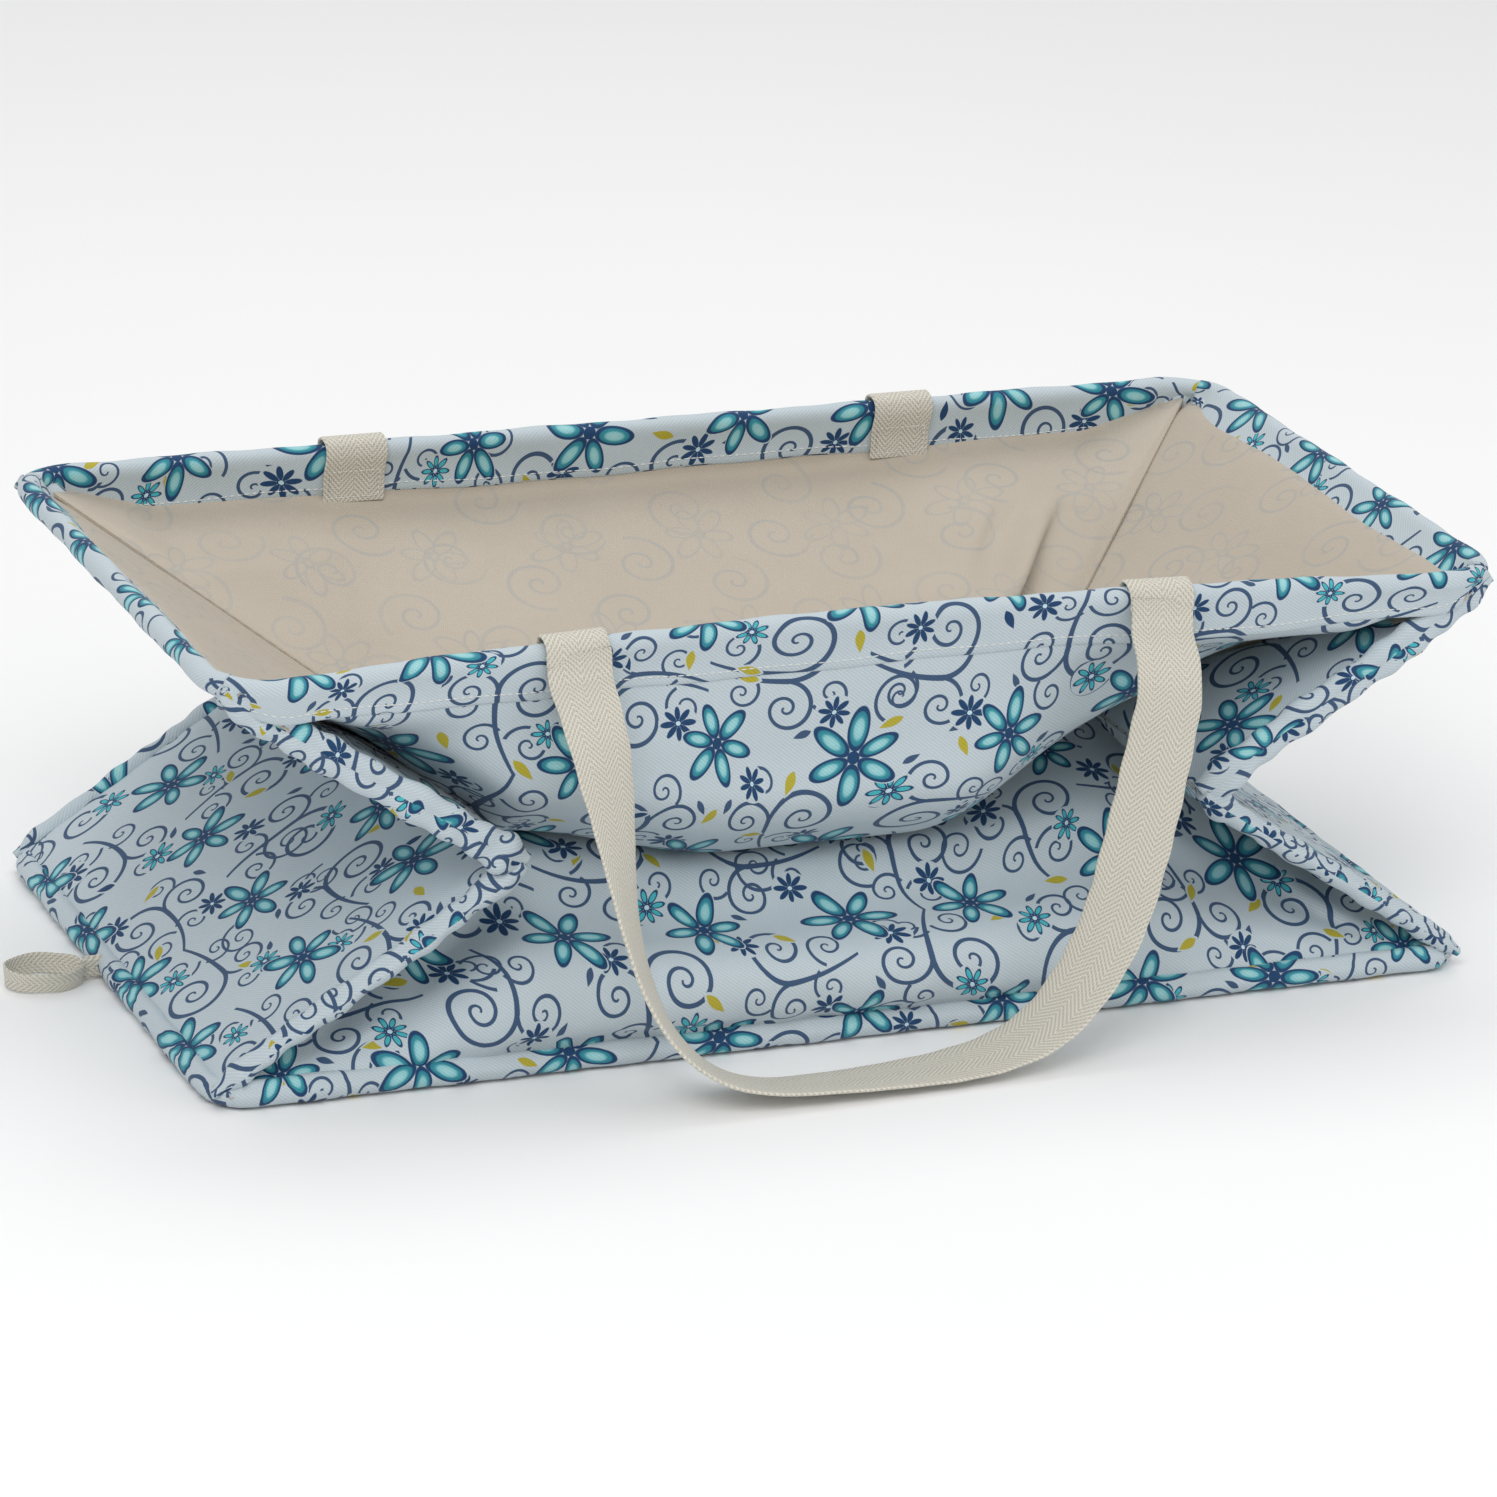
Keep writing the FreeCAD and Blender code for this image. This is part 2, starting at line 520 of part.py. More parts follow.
# ------------------------------------------------------------------ webbing
# Strap ends fold over the rim: inside leg sewn to the hem, short outside leg.
def anchor(label, x, side_y):
    body = new_body(label)
    sk = sketch_on(body, label + "_sk", "YZ_Plane", -val("strap_wid") / 2, "-Sizes.strap_wid / 2")
    ri = "Sizes.hem_out_dia / 2 + 0.2"
    ro = "Sizes.hem_out_dia / 2 + 0.2 + Sizes.anchor_thk"
    neg = lambda t: "0.0 - " + t.replace(" + ", " - ")
    # local sketch x is the world y offset from the wire (inside positive), sketch y is height
    pts = [(ri, "4.0 - Sizes.anchor_drop"), (ro, "4.0 - Sizes.anchor_drop"), (ro, ro), (neg(ro), ro),
           (neg(ro), "-8.0"), (neg(ri), "-8.0"), (neg(ri), ri), (ri, ri)]
    outline(sk, pts)
    pad(body, sk, "Sizes.strap_wid", name=label + "_pad")
    if side_y < 0:
        body.Placement = FreeCAD.Placement(V(x, front_y(x), rz),
                                           FreeCAD.Rotation(V(0, 0, 1), -math.degrees(math.asin(x / bow_r))))
    else:
        body.Placement = FreeCAD.Placement(V(x, rim_wid / 2, rz), FreeCAD.Rotation(V(0, 0, 1), 180))
    OUT.append(body)


sx = val("strap_at")
anchor("strap_end_front_left", -sx, -1)
anchor("strap_end_front_right", sx, -1)
anchor("strap_end_back_left", -sx, 1)
anchor("strap_end_back_right", sx, 1)


def handle(label, side_y):
    lean = math.radians(val("front_lean_deg" if side_y < 0 else "strap_lean_deg"))
    hinge = (0, side_y * (rim_wid / 2 + (-7.0 if side_y < 0 else 8.0)), rz + 3.0)
    down = (0, side_y * math.sin(lean), -math.cos(lean))
    place = frame(hinge, down, (1, 0, 0))
    w = "Sizes.strap_wid"
    a = "Sizes.strap_at + Sizes.strap_wid / 2"
    i = "Sizes.strap_at - Sizes.strap_wid / 2"
    na = "0.0 - Sizes.strap_at - Sizes.strap_wid / 2"
    ni = "Sizes.strap_wid / 2 - Sizes.strap_at"
    top, mid, low = "Sizes.strap_start", "96.0", "Sizes.front_reach" if side_y < 0 else "Sizes.strap_reach"
    pts = [(top, na), (mid, na), (low, "-92.0"), (low, "92.0"), (mid, a), (top, a),
           (top, i), ("86.0", i), (low + " - Sizes.strap_wid", "74.0"),
           (low + " - Sizes.strap_wid", "-74.0"), ("86.0", ni), (top, ni)]
    slab(label, pts, "-Sizes.strap_thk / 2", "Sizes.strap_thk", place, 2.0)


handle("handle_front", -1)
handle("handle_back", 1)

# Small pull loop in the left base seam: a sewn tab and a free webbing loop.
slab("pull_loop_tab", [("-Sizes.loop_wid / 2", "-2.0"), ("Sizes.loop_wid / 2", "-2.0"),
                       ("Sizes.loop_wid / 2", "2.0"), ("-Sizes.loop_wid / 2", "2.0")],
     "0.0", "Sizes.loop_thk", frame((-rim_len / 2 - 4.0, 10, 1.0), (0, 1, 0), (-1, 0, 0)).multiply(
         FreeCAD.Placement(V(0, 0, 0), FreeCAD.Rotation())), 0.8)
lo = "Sizes.loop_wid / 2"
slab("pull_loop", [("4.0", "-Sizes.loop_wid / 2"), ("Sizes.loop_len", "-Sizes.loop_wid / 2"),
                   ("Sizes.loop_len", lo), ("4.0", lo)],
     "-Sizes.loop_thk / 2", "Sizes.loop_thk", frame((-rim_len / 2 - 6.0, 10, 4.0), (-1, 0, 0), (0, 1, 0)), 0.8)

# ------------------------------------------------------------- check and write
doc.recompute()
for obj in doc.Objects:
    bad = [s for s in obj.State if s in ("Invalid", "Error")]
    if bad:
        raise SystemExit("failed: %s %s" % (obj.Label, obj.State))
names = set()
for body in OUT:
    shp = body.Shape
    if shp.isNull() or not shp.isValid() or shp.Volume < 1.0 or not shp.Solids:
        raise SystemExit("bad shape: %s" % body.Label)
    if body.Label in names:
        raise SystemExit("name used twice: %s" % body.Label)
    names.add(body.Label)
for body in OUT:
    body.Shape.exportStep("parts/%s.step" % body.Label)
print(len(OUT), "nodes written")
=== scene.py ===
import bpy
import json
import math
import numpy as np
from mathutils import Matrix, Vector
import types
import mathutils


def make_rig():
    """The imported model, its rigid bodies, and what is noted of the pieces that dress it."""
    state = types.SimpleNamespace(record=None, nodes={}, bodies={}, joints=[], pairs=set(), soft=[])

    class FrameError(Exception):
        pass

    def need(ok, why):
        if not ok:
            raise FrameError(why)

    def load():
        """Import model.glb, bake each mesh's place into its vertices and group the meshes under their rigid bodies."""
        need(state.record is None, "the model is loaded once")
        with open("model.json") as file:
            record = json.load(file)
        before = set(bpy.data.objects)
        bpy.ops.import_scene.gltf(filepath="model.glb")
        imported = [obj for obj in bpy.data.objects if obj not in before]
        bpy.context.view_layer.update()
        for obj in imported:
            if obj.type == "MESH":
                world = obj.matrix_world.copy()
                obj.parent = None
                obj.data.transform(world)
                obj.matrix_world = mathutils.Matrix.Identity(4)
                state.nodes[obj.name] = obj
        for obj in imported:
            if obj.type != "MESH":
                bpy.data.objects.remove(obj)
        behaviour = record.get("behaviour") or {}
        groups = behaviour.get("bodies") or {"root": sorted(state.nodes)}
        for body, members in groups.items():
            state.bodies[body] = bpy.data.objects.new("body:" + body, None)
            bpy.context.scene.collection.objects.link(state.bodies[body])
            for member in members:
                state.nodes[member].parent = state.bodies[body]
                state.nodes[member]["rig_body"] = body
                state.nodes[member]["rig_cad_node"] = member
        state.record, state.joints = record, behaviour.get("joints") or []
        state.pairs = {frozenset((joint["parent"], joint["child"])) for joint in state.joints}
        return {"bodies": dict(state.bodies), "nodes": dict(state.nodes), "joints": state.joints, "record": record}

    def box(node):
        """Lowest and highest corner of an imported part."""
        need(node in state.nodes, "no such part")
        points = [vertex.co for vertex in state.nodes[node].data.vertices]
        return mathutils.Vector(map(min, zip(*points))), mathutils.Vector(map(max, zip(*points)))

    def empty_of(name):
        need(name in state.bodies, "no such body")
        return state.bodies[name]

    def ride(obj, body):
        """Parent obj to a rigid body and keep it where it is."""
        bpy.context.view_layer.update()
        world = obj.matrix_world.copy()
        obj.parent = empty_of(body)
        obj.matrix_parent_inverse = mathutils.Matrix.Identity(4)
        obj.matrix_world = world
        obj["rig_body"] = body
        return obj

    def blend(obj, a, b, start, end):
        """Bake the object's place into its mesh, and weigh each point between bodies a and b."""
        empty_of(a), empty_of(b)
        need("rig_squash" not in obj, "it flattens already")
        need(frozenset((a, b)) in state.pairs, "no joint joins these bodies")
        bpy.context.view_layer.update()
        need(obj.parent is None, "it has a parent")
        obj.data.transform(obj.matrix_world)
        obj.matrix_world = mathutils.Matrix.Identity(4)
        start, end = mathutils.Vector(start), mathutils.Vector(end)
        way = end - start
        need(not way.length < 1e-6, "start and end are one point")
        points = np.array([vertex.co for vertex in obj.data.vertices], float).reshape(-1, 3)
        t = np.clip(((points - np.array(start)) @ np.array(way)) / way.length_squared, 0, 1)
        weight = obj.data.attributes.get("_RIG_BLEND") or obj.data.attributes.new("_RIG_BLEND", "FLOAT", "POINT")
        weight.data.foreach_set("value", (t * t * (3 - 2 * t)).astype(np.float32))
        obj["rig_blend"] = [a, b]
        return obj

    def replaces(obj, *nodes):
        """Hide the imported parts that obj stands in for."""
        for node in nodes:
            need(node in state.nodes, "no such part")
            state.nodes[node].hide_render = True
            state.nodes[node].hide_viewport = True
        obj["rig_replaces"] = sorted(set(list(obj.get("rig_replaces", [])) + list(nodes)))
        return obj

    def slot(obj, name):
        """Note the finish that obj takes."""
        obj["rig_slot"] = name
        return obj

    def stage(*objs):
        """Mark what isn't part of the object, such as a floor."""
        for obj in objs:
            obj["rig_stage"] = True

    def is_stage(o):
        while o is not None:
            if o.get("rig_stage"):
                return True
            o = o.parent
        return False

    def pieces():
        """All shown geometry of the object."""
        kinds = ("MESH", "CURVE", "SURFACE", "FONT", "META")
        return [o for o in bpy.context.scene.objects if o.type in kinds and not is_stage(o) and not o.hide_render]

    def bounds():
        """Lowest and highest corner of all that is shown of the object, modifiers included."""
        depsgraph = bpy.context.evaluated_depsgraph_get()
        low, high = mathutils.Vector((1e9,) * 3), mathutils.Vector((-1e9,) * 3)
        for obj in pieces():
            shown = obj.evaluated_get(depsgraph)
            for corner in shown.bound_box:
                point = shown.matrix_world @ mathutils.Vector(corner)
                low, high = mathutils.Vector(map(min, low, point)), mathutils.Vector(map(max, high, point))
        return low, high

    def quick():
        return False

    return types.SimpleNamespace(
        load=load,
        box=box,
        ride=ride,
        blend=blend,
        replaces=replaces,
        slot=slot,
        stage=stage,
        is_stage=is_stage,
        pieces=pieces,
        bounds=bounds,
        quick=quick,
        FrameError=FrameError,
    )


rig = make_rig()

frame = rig.load()
CAD_LO, CAD_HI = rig.bounds()
rec = frame["record"]
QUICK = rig.quick()
MM = 0.001

# ------------------------------------------------------------------ key sizes
JT = {j["name"]: j for j in rec["behaviour"]["joints"]}


def jpos(name):
    return np.array(JT[name]["pos_m"], float) * 1000.0


hz = float(jpos("fold")[2])                       # height of the base folds
rz = float(jpos("front_rim")[2])                  # height of the rim wire
HL = float(-jpos("left_base")[0])                 # half length, wire centre
HW = float(-jpos("fold")[1])                      # half width, wire centre
crease = jpos("front_crease")
DI = float(crease[1] + HW)                        # how far a crease sits inwards
HI = float(crease[2] - hz)                        # height of the crease above the fold
PA = math.hypot(DI, HI)                           # length of a folding half
PHI = math.atan2(DI, HI)
S, C = math.sin(PHI), math.cos(PHI)
wire_lo, wire_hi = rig.box("rim_wire")
WR = (wire_hi.z - wire_lo.z) * 500.0              # wire radius
hem_lo, hem_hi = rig.box("hem_front")
HEM = rz - hem_lo.z * 1000.0 + 2.0                # drop of the hem band
# sag of the front rim: the wire's front apex against its ends
wm = frame["nodes"]["rim_wire"].data
wv = np.array([v.co for v in wm.vertices], float).reshape(-1, 3) * 1000.0
midv = wv[(np.abs(wv[:, 0]) < 40) & (wv[:, 1] < 0)]
BOW = float((midv[:, 1].max() + midv[:, 1].min()) / 2 + HW) if len(midv) else 22.0
RATIO_T = next(c["ratio"] for c in rec["behaviour"]["couplings"] if c["joint"] == "front_left_lower_tuck")


def bow(x):
    """How far the front rim stands inwards at x (arc)."""
    t = np.clip(np.abs(np.asarray(x, float)) / (HL - 28.0), 0, 1)
    return BOW * (1 - t * t)


# ------------------------------------------------------------------- helpers
def sstep(a, b, t):
    t = np.clip((np.asarray(t, float) - a) / (b - a), 0, 1)
    return t * t * (3 - 2 * t)


def wob(x, y, seed, wave):
    """Smooth repeatable wrinkle field, about -1..1."""
    rng = np.random.default_rng(seed)
    out = 0.0
    for k in range(7):
        a = rng.uniform(0, 2 * math.pi)
        f = 2 * math.pi / (wave * rng.uniform(0.6, 1.7))
        p = rng.uniform(0, 2 * math.pi)
        q = rng.uniform(0, 2 * math.pi)
        out = out + np.sin((x * math.cos(a) + y * math.sin(a)) * f + p + 0.7 * np.sin((x * math.sin(a) - y * math.cos(a)) * f * 0.5 + q))
    return out / 4.0


def mesh(name, verts, faces, uv=None, mats=None, fmat=None, smooth=True):
    """verts in mm; uv one pair per vertex (mm of cloth), or one per loop."""
    me = bpy.data.meshes.new(name)
    me.from_pydata([tuple(v) for v in (np.asarray(verts, float) * MM)], [], [tuple(int(i) for i in f) for f in faces])
    if uv is not None:
        layer = me.uv_layers.new(name="Fabric")
        idx = np.zeros(len(me.loops), np.int32)
        me.loops.foreach_get("vertex_index", idx)
        uv = np.asarray(uv, float)
        co = uv[idx] if len(uv) == len(verts) else uv
        layer.data.foreach_set("uv", (co * 0.01).astype(np.float32).ravel())
    for m in mats or []:
        me.materials.append(m)
    if fmat is not None:
        me.polygons.foreach_set("material_index", np.asarray(fmat, np.int32))
    if smooth:
        me.polygons.foreach_set("use_smooth", np.ones(len(me.polygons), bool))
    me.validate()
    me.update()
    ob = bpy.data.objects.new(name, me)
    bpy.context.scene.collection.objects.link(ob)
    return ob


def grid_normals(P):
    du = np.gradient(P, axis=0)
    dv = np.gradient(P, axis=1)
    n = np.cross(du, dv)
    ln = np.linalg.norm(n, axis=2, keepdims=True)
    n = n / np.maximum(ln, 1e-9)
    return n


def shell(name, P, UV, thick, mats, out_sign=1.0, uv_in=None, nrm=None, rim_mat=0):
    """Closed thin shell from a grid of middle points. Outer face takes mats[0], inner mats[1]."""
    ni, nj = P.shape[:2]
    n = grid_normals(P) if nrm is None else nrm
    th = thick if np.ndim(thick) else np.full((ni, nj), float(thick))
    A = P + n * (out_sign * th / 2)[..., None]
    B = P - n * (out_sign * th / 2)[..., None]
    V = np.concatenate([A.reshape(-1, 3), B.reshape(-1, 3)])
    U = np.concatenate([UV.reshape(-1, 2), (UV if uv_in is None else uv_in).reshape(-1, 2)])
    off = ni * nj
    F, M = [], []
    for i in range(ni - 1):
        for j in range(nj - 1):
            a, b, c, d = i * nj + j, (i + 1) * nj + j, (i + 1) * nj + j + 1, i * nj + j + 1
            f = (a, b, c, d) if out_sign > 0 else (d, c, b, a)
            g = (off + d, off + c, off + b, off + a) if out_sign > 0 else (off + a, off + b, off + c, off + d)
            F.append(f); M.append(0)
            F.append(g); M.append(1)
    ring = [i * nj for i in range(ni)] + [(ni - 1) * nj + j for j in range(1, nj)] + \
           [i * nj + nj - 1 for i in range(ni - 2, -1, -1)] + [j for j in range(nj - 2, 0, -1)]
    for k in range(len(ring)):
        a, b = ring[k], ring[(k + 1) % len(ring)]
        F.append((b, a, off + a, off + b) if out_sign > 0 else (a, b, off + b, off + a)); M.append(rim_mat)
    return mesh(name, V, F, U, mats, M)


def sweep(name, path, frames_y, frames_z, section, mats, closed=False, uv0=(0, 0), caps=True, scale=None, uv_start=None, uv_dir=1.0):
    """Closed solid: section points (y, z) carried along path; per-ring section allowed."""
    n = len(path)
    secs = section if np.ndim(section) == 3 else np.repeat(np.asarray(section, float)[None], n, 0)
    m = secs.shape[1]
    V = np.zeros((n, m, 3))
    for i in range(n):
        sc = 1.0 if scale is None else scale[i]
        V[i] = path[i] + np.outer(secs[i][:, 0] * sc, frames_y[i]) + np.outer(secs[i][:, 1] * sc, frames_z[i])
    seg = np.concatenate([[0], np.cumsum(np.linalg.norm(np.diff(path, axis=0), axis=1))])
    ref = secs[n // 2]
    per = np.concatenate([[0], np.cumsum(np.linalg.norm(np.diff(np.vstack([ref, ref[:1]]), axis=0), axis=1))])
    if uv_start is not None:
        per = uv_start - uv_dir * per
    F, L = [], []
    steps = n if closed else n - 1
    tot = seg[-1] + (np.linalg.norm(path[0] - path[-1]) if closed else 0)
    for i in range(steps):
        i2 = (i + 1) % n
        s0, s1 = seg[i], (seg[i + 1] if i + 1 < n else tot)
        for j in range(m):
            j2 = (j + 1) % m
            F.append((i * m + j, i2 * m + j, i2 * m + j2, i * m + j2))
            L += [(s0 + uv0[0], per[j] + uv0[1]), (s1 + uv0[0], per[j] + uv0[1]),
                  (s1 + uv0[0], per[j + 1] + uv0[1]), (s0 + uv0[0], per[j + 1] + uv0[1])]
    if not closed and caps:
        F.append(tuple(range(m))); L += [(seg[0] + uv0[0] + secs[0][k][0], secs[0][k][1] + uv0[1]) for k in range(m)]
        F.append(tuple((n - 1) * m + k for k in range(m - 1, -1, -1)))
        L += [(seg[-1] + uv0[0] + secs[-1][k][0], secs[-1][k][1] + uv0[1]) for k in range(m - 1, -1, -1)]
    return mesh(name, V.reshape(-1, 3), F, L, mats)


def weights(ob, a, b, w):
    """Blend a piece between two jointed bodies with one weight per vertex."""
    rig.blend(ob, a, b, start=(0, 0, 0), end=(0, 0, 1))
    ob.data.attributes["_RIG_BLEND"].data.foreach_set("value", np.asarray(w, np.float32).ravel())


def verts_mm(ob):
    co = np.zeros(len(ob.data.vertices) * 3, np.float32)
    ob.data.vertices.foreach_get("co", co)
    return co.reshape(-1, 3).astype(float) * 1000.0


# ------------------------------------------------------------------ materials
def srgb(r, g, b, a=1.0):
    f = lambda c: ((c / 255.0 + 0.055) / 1.055) ** 2.4 if c > 10 else c / 255.0 / 12.92
    return (f(r), f(g), f(b), a)


class G:
    """Small helper for building node trees."""
    def __init__(s, tree):
        s.t = tree

    def put(s, node, i, v):
        if v is None:
            return
        if isinstance(v, bpy.types.NodeSocket):
            s.t.links.new(v, node.inputs[i])
        else:
            node.inputs[i].default_value = v

    def m(s, op, a, b=None, c=None, clamp=False):
        n = s.t.nodes.new("ShaderNodeMath"); n.operation = op; n.use_clamp = clamp
        s.put(n, 0, a); s.put(n, 1, b); s.put(n, 2, c)
        return n.outputs[0]

    def v(s, op, a, b=None, c=None, out=0):
        n = s.t.nodes.new("ShaderNodeVectorMath"); n.operation = op
        s.put(n, 0, a); s.put(n, 1, b); s.put(n, 2, c)
        return n.outputs["Value"] if out == "v" else n.outputs[0]

    def scale(s, a, k):
        n = s.t.nodes.new("ShaderNodeVectorMath"); n.operation = "SCALE"
        s.put(n, 0, a); s.put(n, 3, k)
        return n.outputs[0]

    def xyz(s, a):
        n = s.t.nodes.new("ShaderNodeSeparateXYZ"); s.put(n, 0, a)
        return n.outputs[0], n.outputs[1], n.outputs[2]

    def comb(s, x, y, z=0.0):
        n = s.t.nodes.new("ShaderNodeCombineXYZ"); s.put(n, 0, x); s.put(n, 1, y); s.put(n, 2, z)
        return n.outputs[0]

    def rot(s, a, ang):
        n = s.t.nodes.new("ShaderNodeVectorRotate"); n.rotation_type = "Z_AXIS"
        s.put(n, 0, a); s.put(n, 3, ang)
        return n.outputs[0]

    def mix(s, fac, a, b):
        n = s.t.nodes.new("ShaderNodeMix"); n.data_type = "RGBA"
        s.put(n, 0, fac); s.put(n, 6, a); s.put(n, 7, b)
        return n.outputs[2]

    def ramp(s, fac, stops, mode="LINEAR"):
        n = s.t.nodes.new("ShaderNodeValToRGB"); n.color_ramp.interpolation = mode
        e = n.color_ramp.elements
        while len(e) > 1:
            e.remove(e[-1])
        e[0].position, e[0].color = stops[0]
        for p, c in stops[1:]:
            k = e.new(p); k.color = c
        s.put(n, 0, fac)
        return n.outputs[0]

    def noise(s, vec, scale, detail=2.0, rough=0.5, dim="3D"):
        n = s.t.nodes.new("ShaderNodeTexNoise"); n.noise_dimensions = dim
        s.put(n, "Vector", vec); n.inputs["Scale"].default_value = scale
        n.inputs["Detail"].default_value = detail; n.inputs["Roughness"].default_value = rough
        return n.outputs[0]

    def white(s, vec):
        n = s.t.nodes.new("ShaderNodeTexWhiteNoise"); n.noise_dimensions = "3D"
        s.put(n, 0, vec)
        return n.outputs[0], n.outputs[1]


def lattice(g, uv, cell, turn, off, seed, jit=0.0):
    """Fold cloth coordinates into cells; gives local point, and three random numbers."""
    p = g.rot(uv, turn) if turn else uv
    p = g.v("ADD", g.scale(p, 1.0 / cell), (off[0], off[1], 0.0))
    cid = g.v("FLOOR", p)
    fr = g.v("SUBTRACT", g.v("FRACTION", p), (0.5, 0.5, 0.0))
    val, col = g.white(g.v("ADD", cid, (0.37, 0.71, seed)))
    loc = g.scale(fr, cell)
    if jit:
        loc = g.v("ADD", loc, g.v("MULTIPLY", g.v("SUBTRACT", col, (0.5, 0.5, 0.5)), (jit, jit, 0.0)))
    r, gg, b = g.xyz(col)
    return loc, val, r, gg, b


def flower(g, p, size, petals, fat, lop, centre=0.56, reach=0.44):
    """Distance-like number: below 1 inside a petal. Also the radius."""
    x, y, _ = g.xyz(p)
    r = g.m("DIVIDE", g.m("SQRT", g.m("ADD", g.m("MULTIPLY", x, x), g.m("MULTIPLY", y, y))), size)
    th = g.m("ARCTAN2", y, x)
    if lop:
        r = g.m("MULTIPLY", r, g.m("ADD", 1.0, g.m("MULTIPLY", g.m("SINE", g.m("MULTIPLY", th, 2.0)), lop)))
    k = math.pi / petals
    tf = g.m("WRAP", th, k, -k)
    px = g.m("MULTIPLY", r, g.m("COSINE", tf))
    py = g.m("MULTIPLY", r, g.m("SINE", tf))
    ex = g.m("DIVIDE", g.m("SUBTRACT", px, centre), reach)
    ey = g.m("DIVIDE", py, fat)
    e = g.m("SQRT", g.m("ADD", g.m("MULTIPLY", ex, ex), g.m("MULTIPLY", ey, ey)))
    return e, r


def curl(g, p, cx, cy, R, turns, end_deg, sgn, w0, w1, power=1.7):
    """Ink mask of a scroll that winds out from (cx, cy) and ends at radius R."""
    q = g.v("SUBTRACT", p, (cx, cy, 0.0))
    if sgn < 0:
        q = g.v("MULTIPLY", q, (1.0, -1.0, 1.0))
        end_deg = -end_deg
    x, y, _ = g.xyz(q)
    r = g.m("SQRT", g.m("ADD", g.m("MULTIPLY", x, x), g.m("MULTIPLY", y, y)))
    th = g.m("ADD", g.m("DIVIDE", g.m("ARCTAN2", y, x), 2 * math.pi), turns - end_deg / 360.0)
    A = R / turns ** power
    t = g.m("POWER", g.m("DIVIDE", r, A), 1.0 / power)
    k = g.m("ROUND", g.m("SUBTRACT", t, th))
    T = g.m("ADD", k, th)
    d = g.m("ABSOLUTE", g.m("SUBTRACT", r, g.m("MULTIPLY", A, g.m("POWER", g.m("MAXIMUM", T, 0.0), power))))
    w = g.m("ADD", w0 / 2, g.m("MULTIPLY", T, (w1 - w0) / 2 / turns))
    ink = g.m("ADD", g.m("DIVIDE", g.m("SUBTRACT", w, d), 0.22), 0.5, clamp=True)
    ink = g.m("MULTIPLY", ink, g.m("LESS_THAN", T, turns + 0.003))
    return g.m("MULTIPLY", ink, g.m("GREATER_THAN", T, 0.3))


def leaf(g, p, half, wid):
    x, y, _ = g.xyz(p)
    X = g.m("DIVIDE", x, half)
    prof = g.m("MULTIPLY", g.m("SUBTRACT", 1.0, g.m("MULTIPLY", X, X)), g.m("ADD", wid, g.m("MULTIPLY", X, -0.35 * wid)))
    return g.m("MULTIPLY", g.m("ADD", g.m("DIVIDE", g.m("SUBTRACT", prof, g.m("ABSOLUTE", y)), 0.2), 0.5, clamp=True),
               g.m("LESS_THAN", g.m("ABSOLUTE", X), 1.0))


GROUND = srgb(188, 200, 206)
NAVY = srgb(22, 62, 102)
TEAL = srgb(52, 142, 156)
AQUA = srgb(160, 208, 211)
OLIVE = srgb(176, 164, 52)


def cloth_uv(g):
    n = g.t.nodes.new("ShaderNodeUVMap"); n.uv_map = "Fabric"
    return g.scale(n.outputs[0], 100.0)           # millimetres of cloth


def twill(g, uv):
    """Fine diagonal weave, 0..1."""
    x, y, _ = g.xyz(uv)
    d = g.m("SINE", g.m("MULTIPLY", g.m("ADD", g.m("MULTIPLY", x, 0.8), y), 2 * math.pi / 1.75))
    e = g.m("SINE", g.m("MULTIPLY", g.m("SUBTRACT", x, g.m("MULTIPLY", y, 0.35)), 2 * math.pi / 1.05))
    return g.m("ADD", 0.5, g.m("ADD", g.m("MULTIPLY", d, 0.33), g.m("MULTIPLY", e, 0.17)))


def finish(mat, g, base, rough, bump_h, bump_strength, bump_dist, sheen=0.15, spec=0.25, tint=(1, 1, 1, 1)):
    b = mat.node_tree.nodes.get("Principled BSDF")
    g.put(b, "Base Color", base)
    g.put(b, "Roughness", rough)
    b.inputs["Specular IOR Level"].default_value = spec
    b.inputs["Sheen Weight"].default_value = sheen
    b.inputs["Sheen Roughness"].default_value = 0.4
    if bump_h is not None:
        n = mat.node_tree.nodes.new("ShaderNodeBump")
        n.inputs["Strength"].default_value = bump_strength
        n.inputs["Distance"].default_value = bump_dist
        g.put(n, "Height", bump_h)
        mat.node_tree.links.new(n.outputs[0], b.inputs["Normal"])
    return mat


def new_mat(name):
    mat = bpy.data.materials.new(name)
    mat.use_nodes = True
    return mat, G(mat.node_tree)


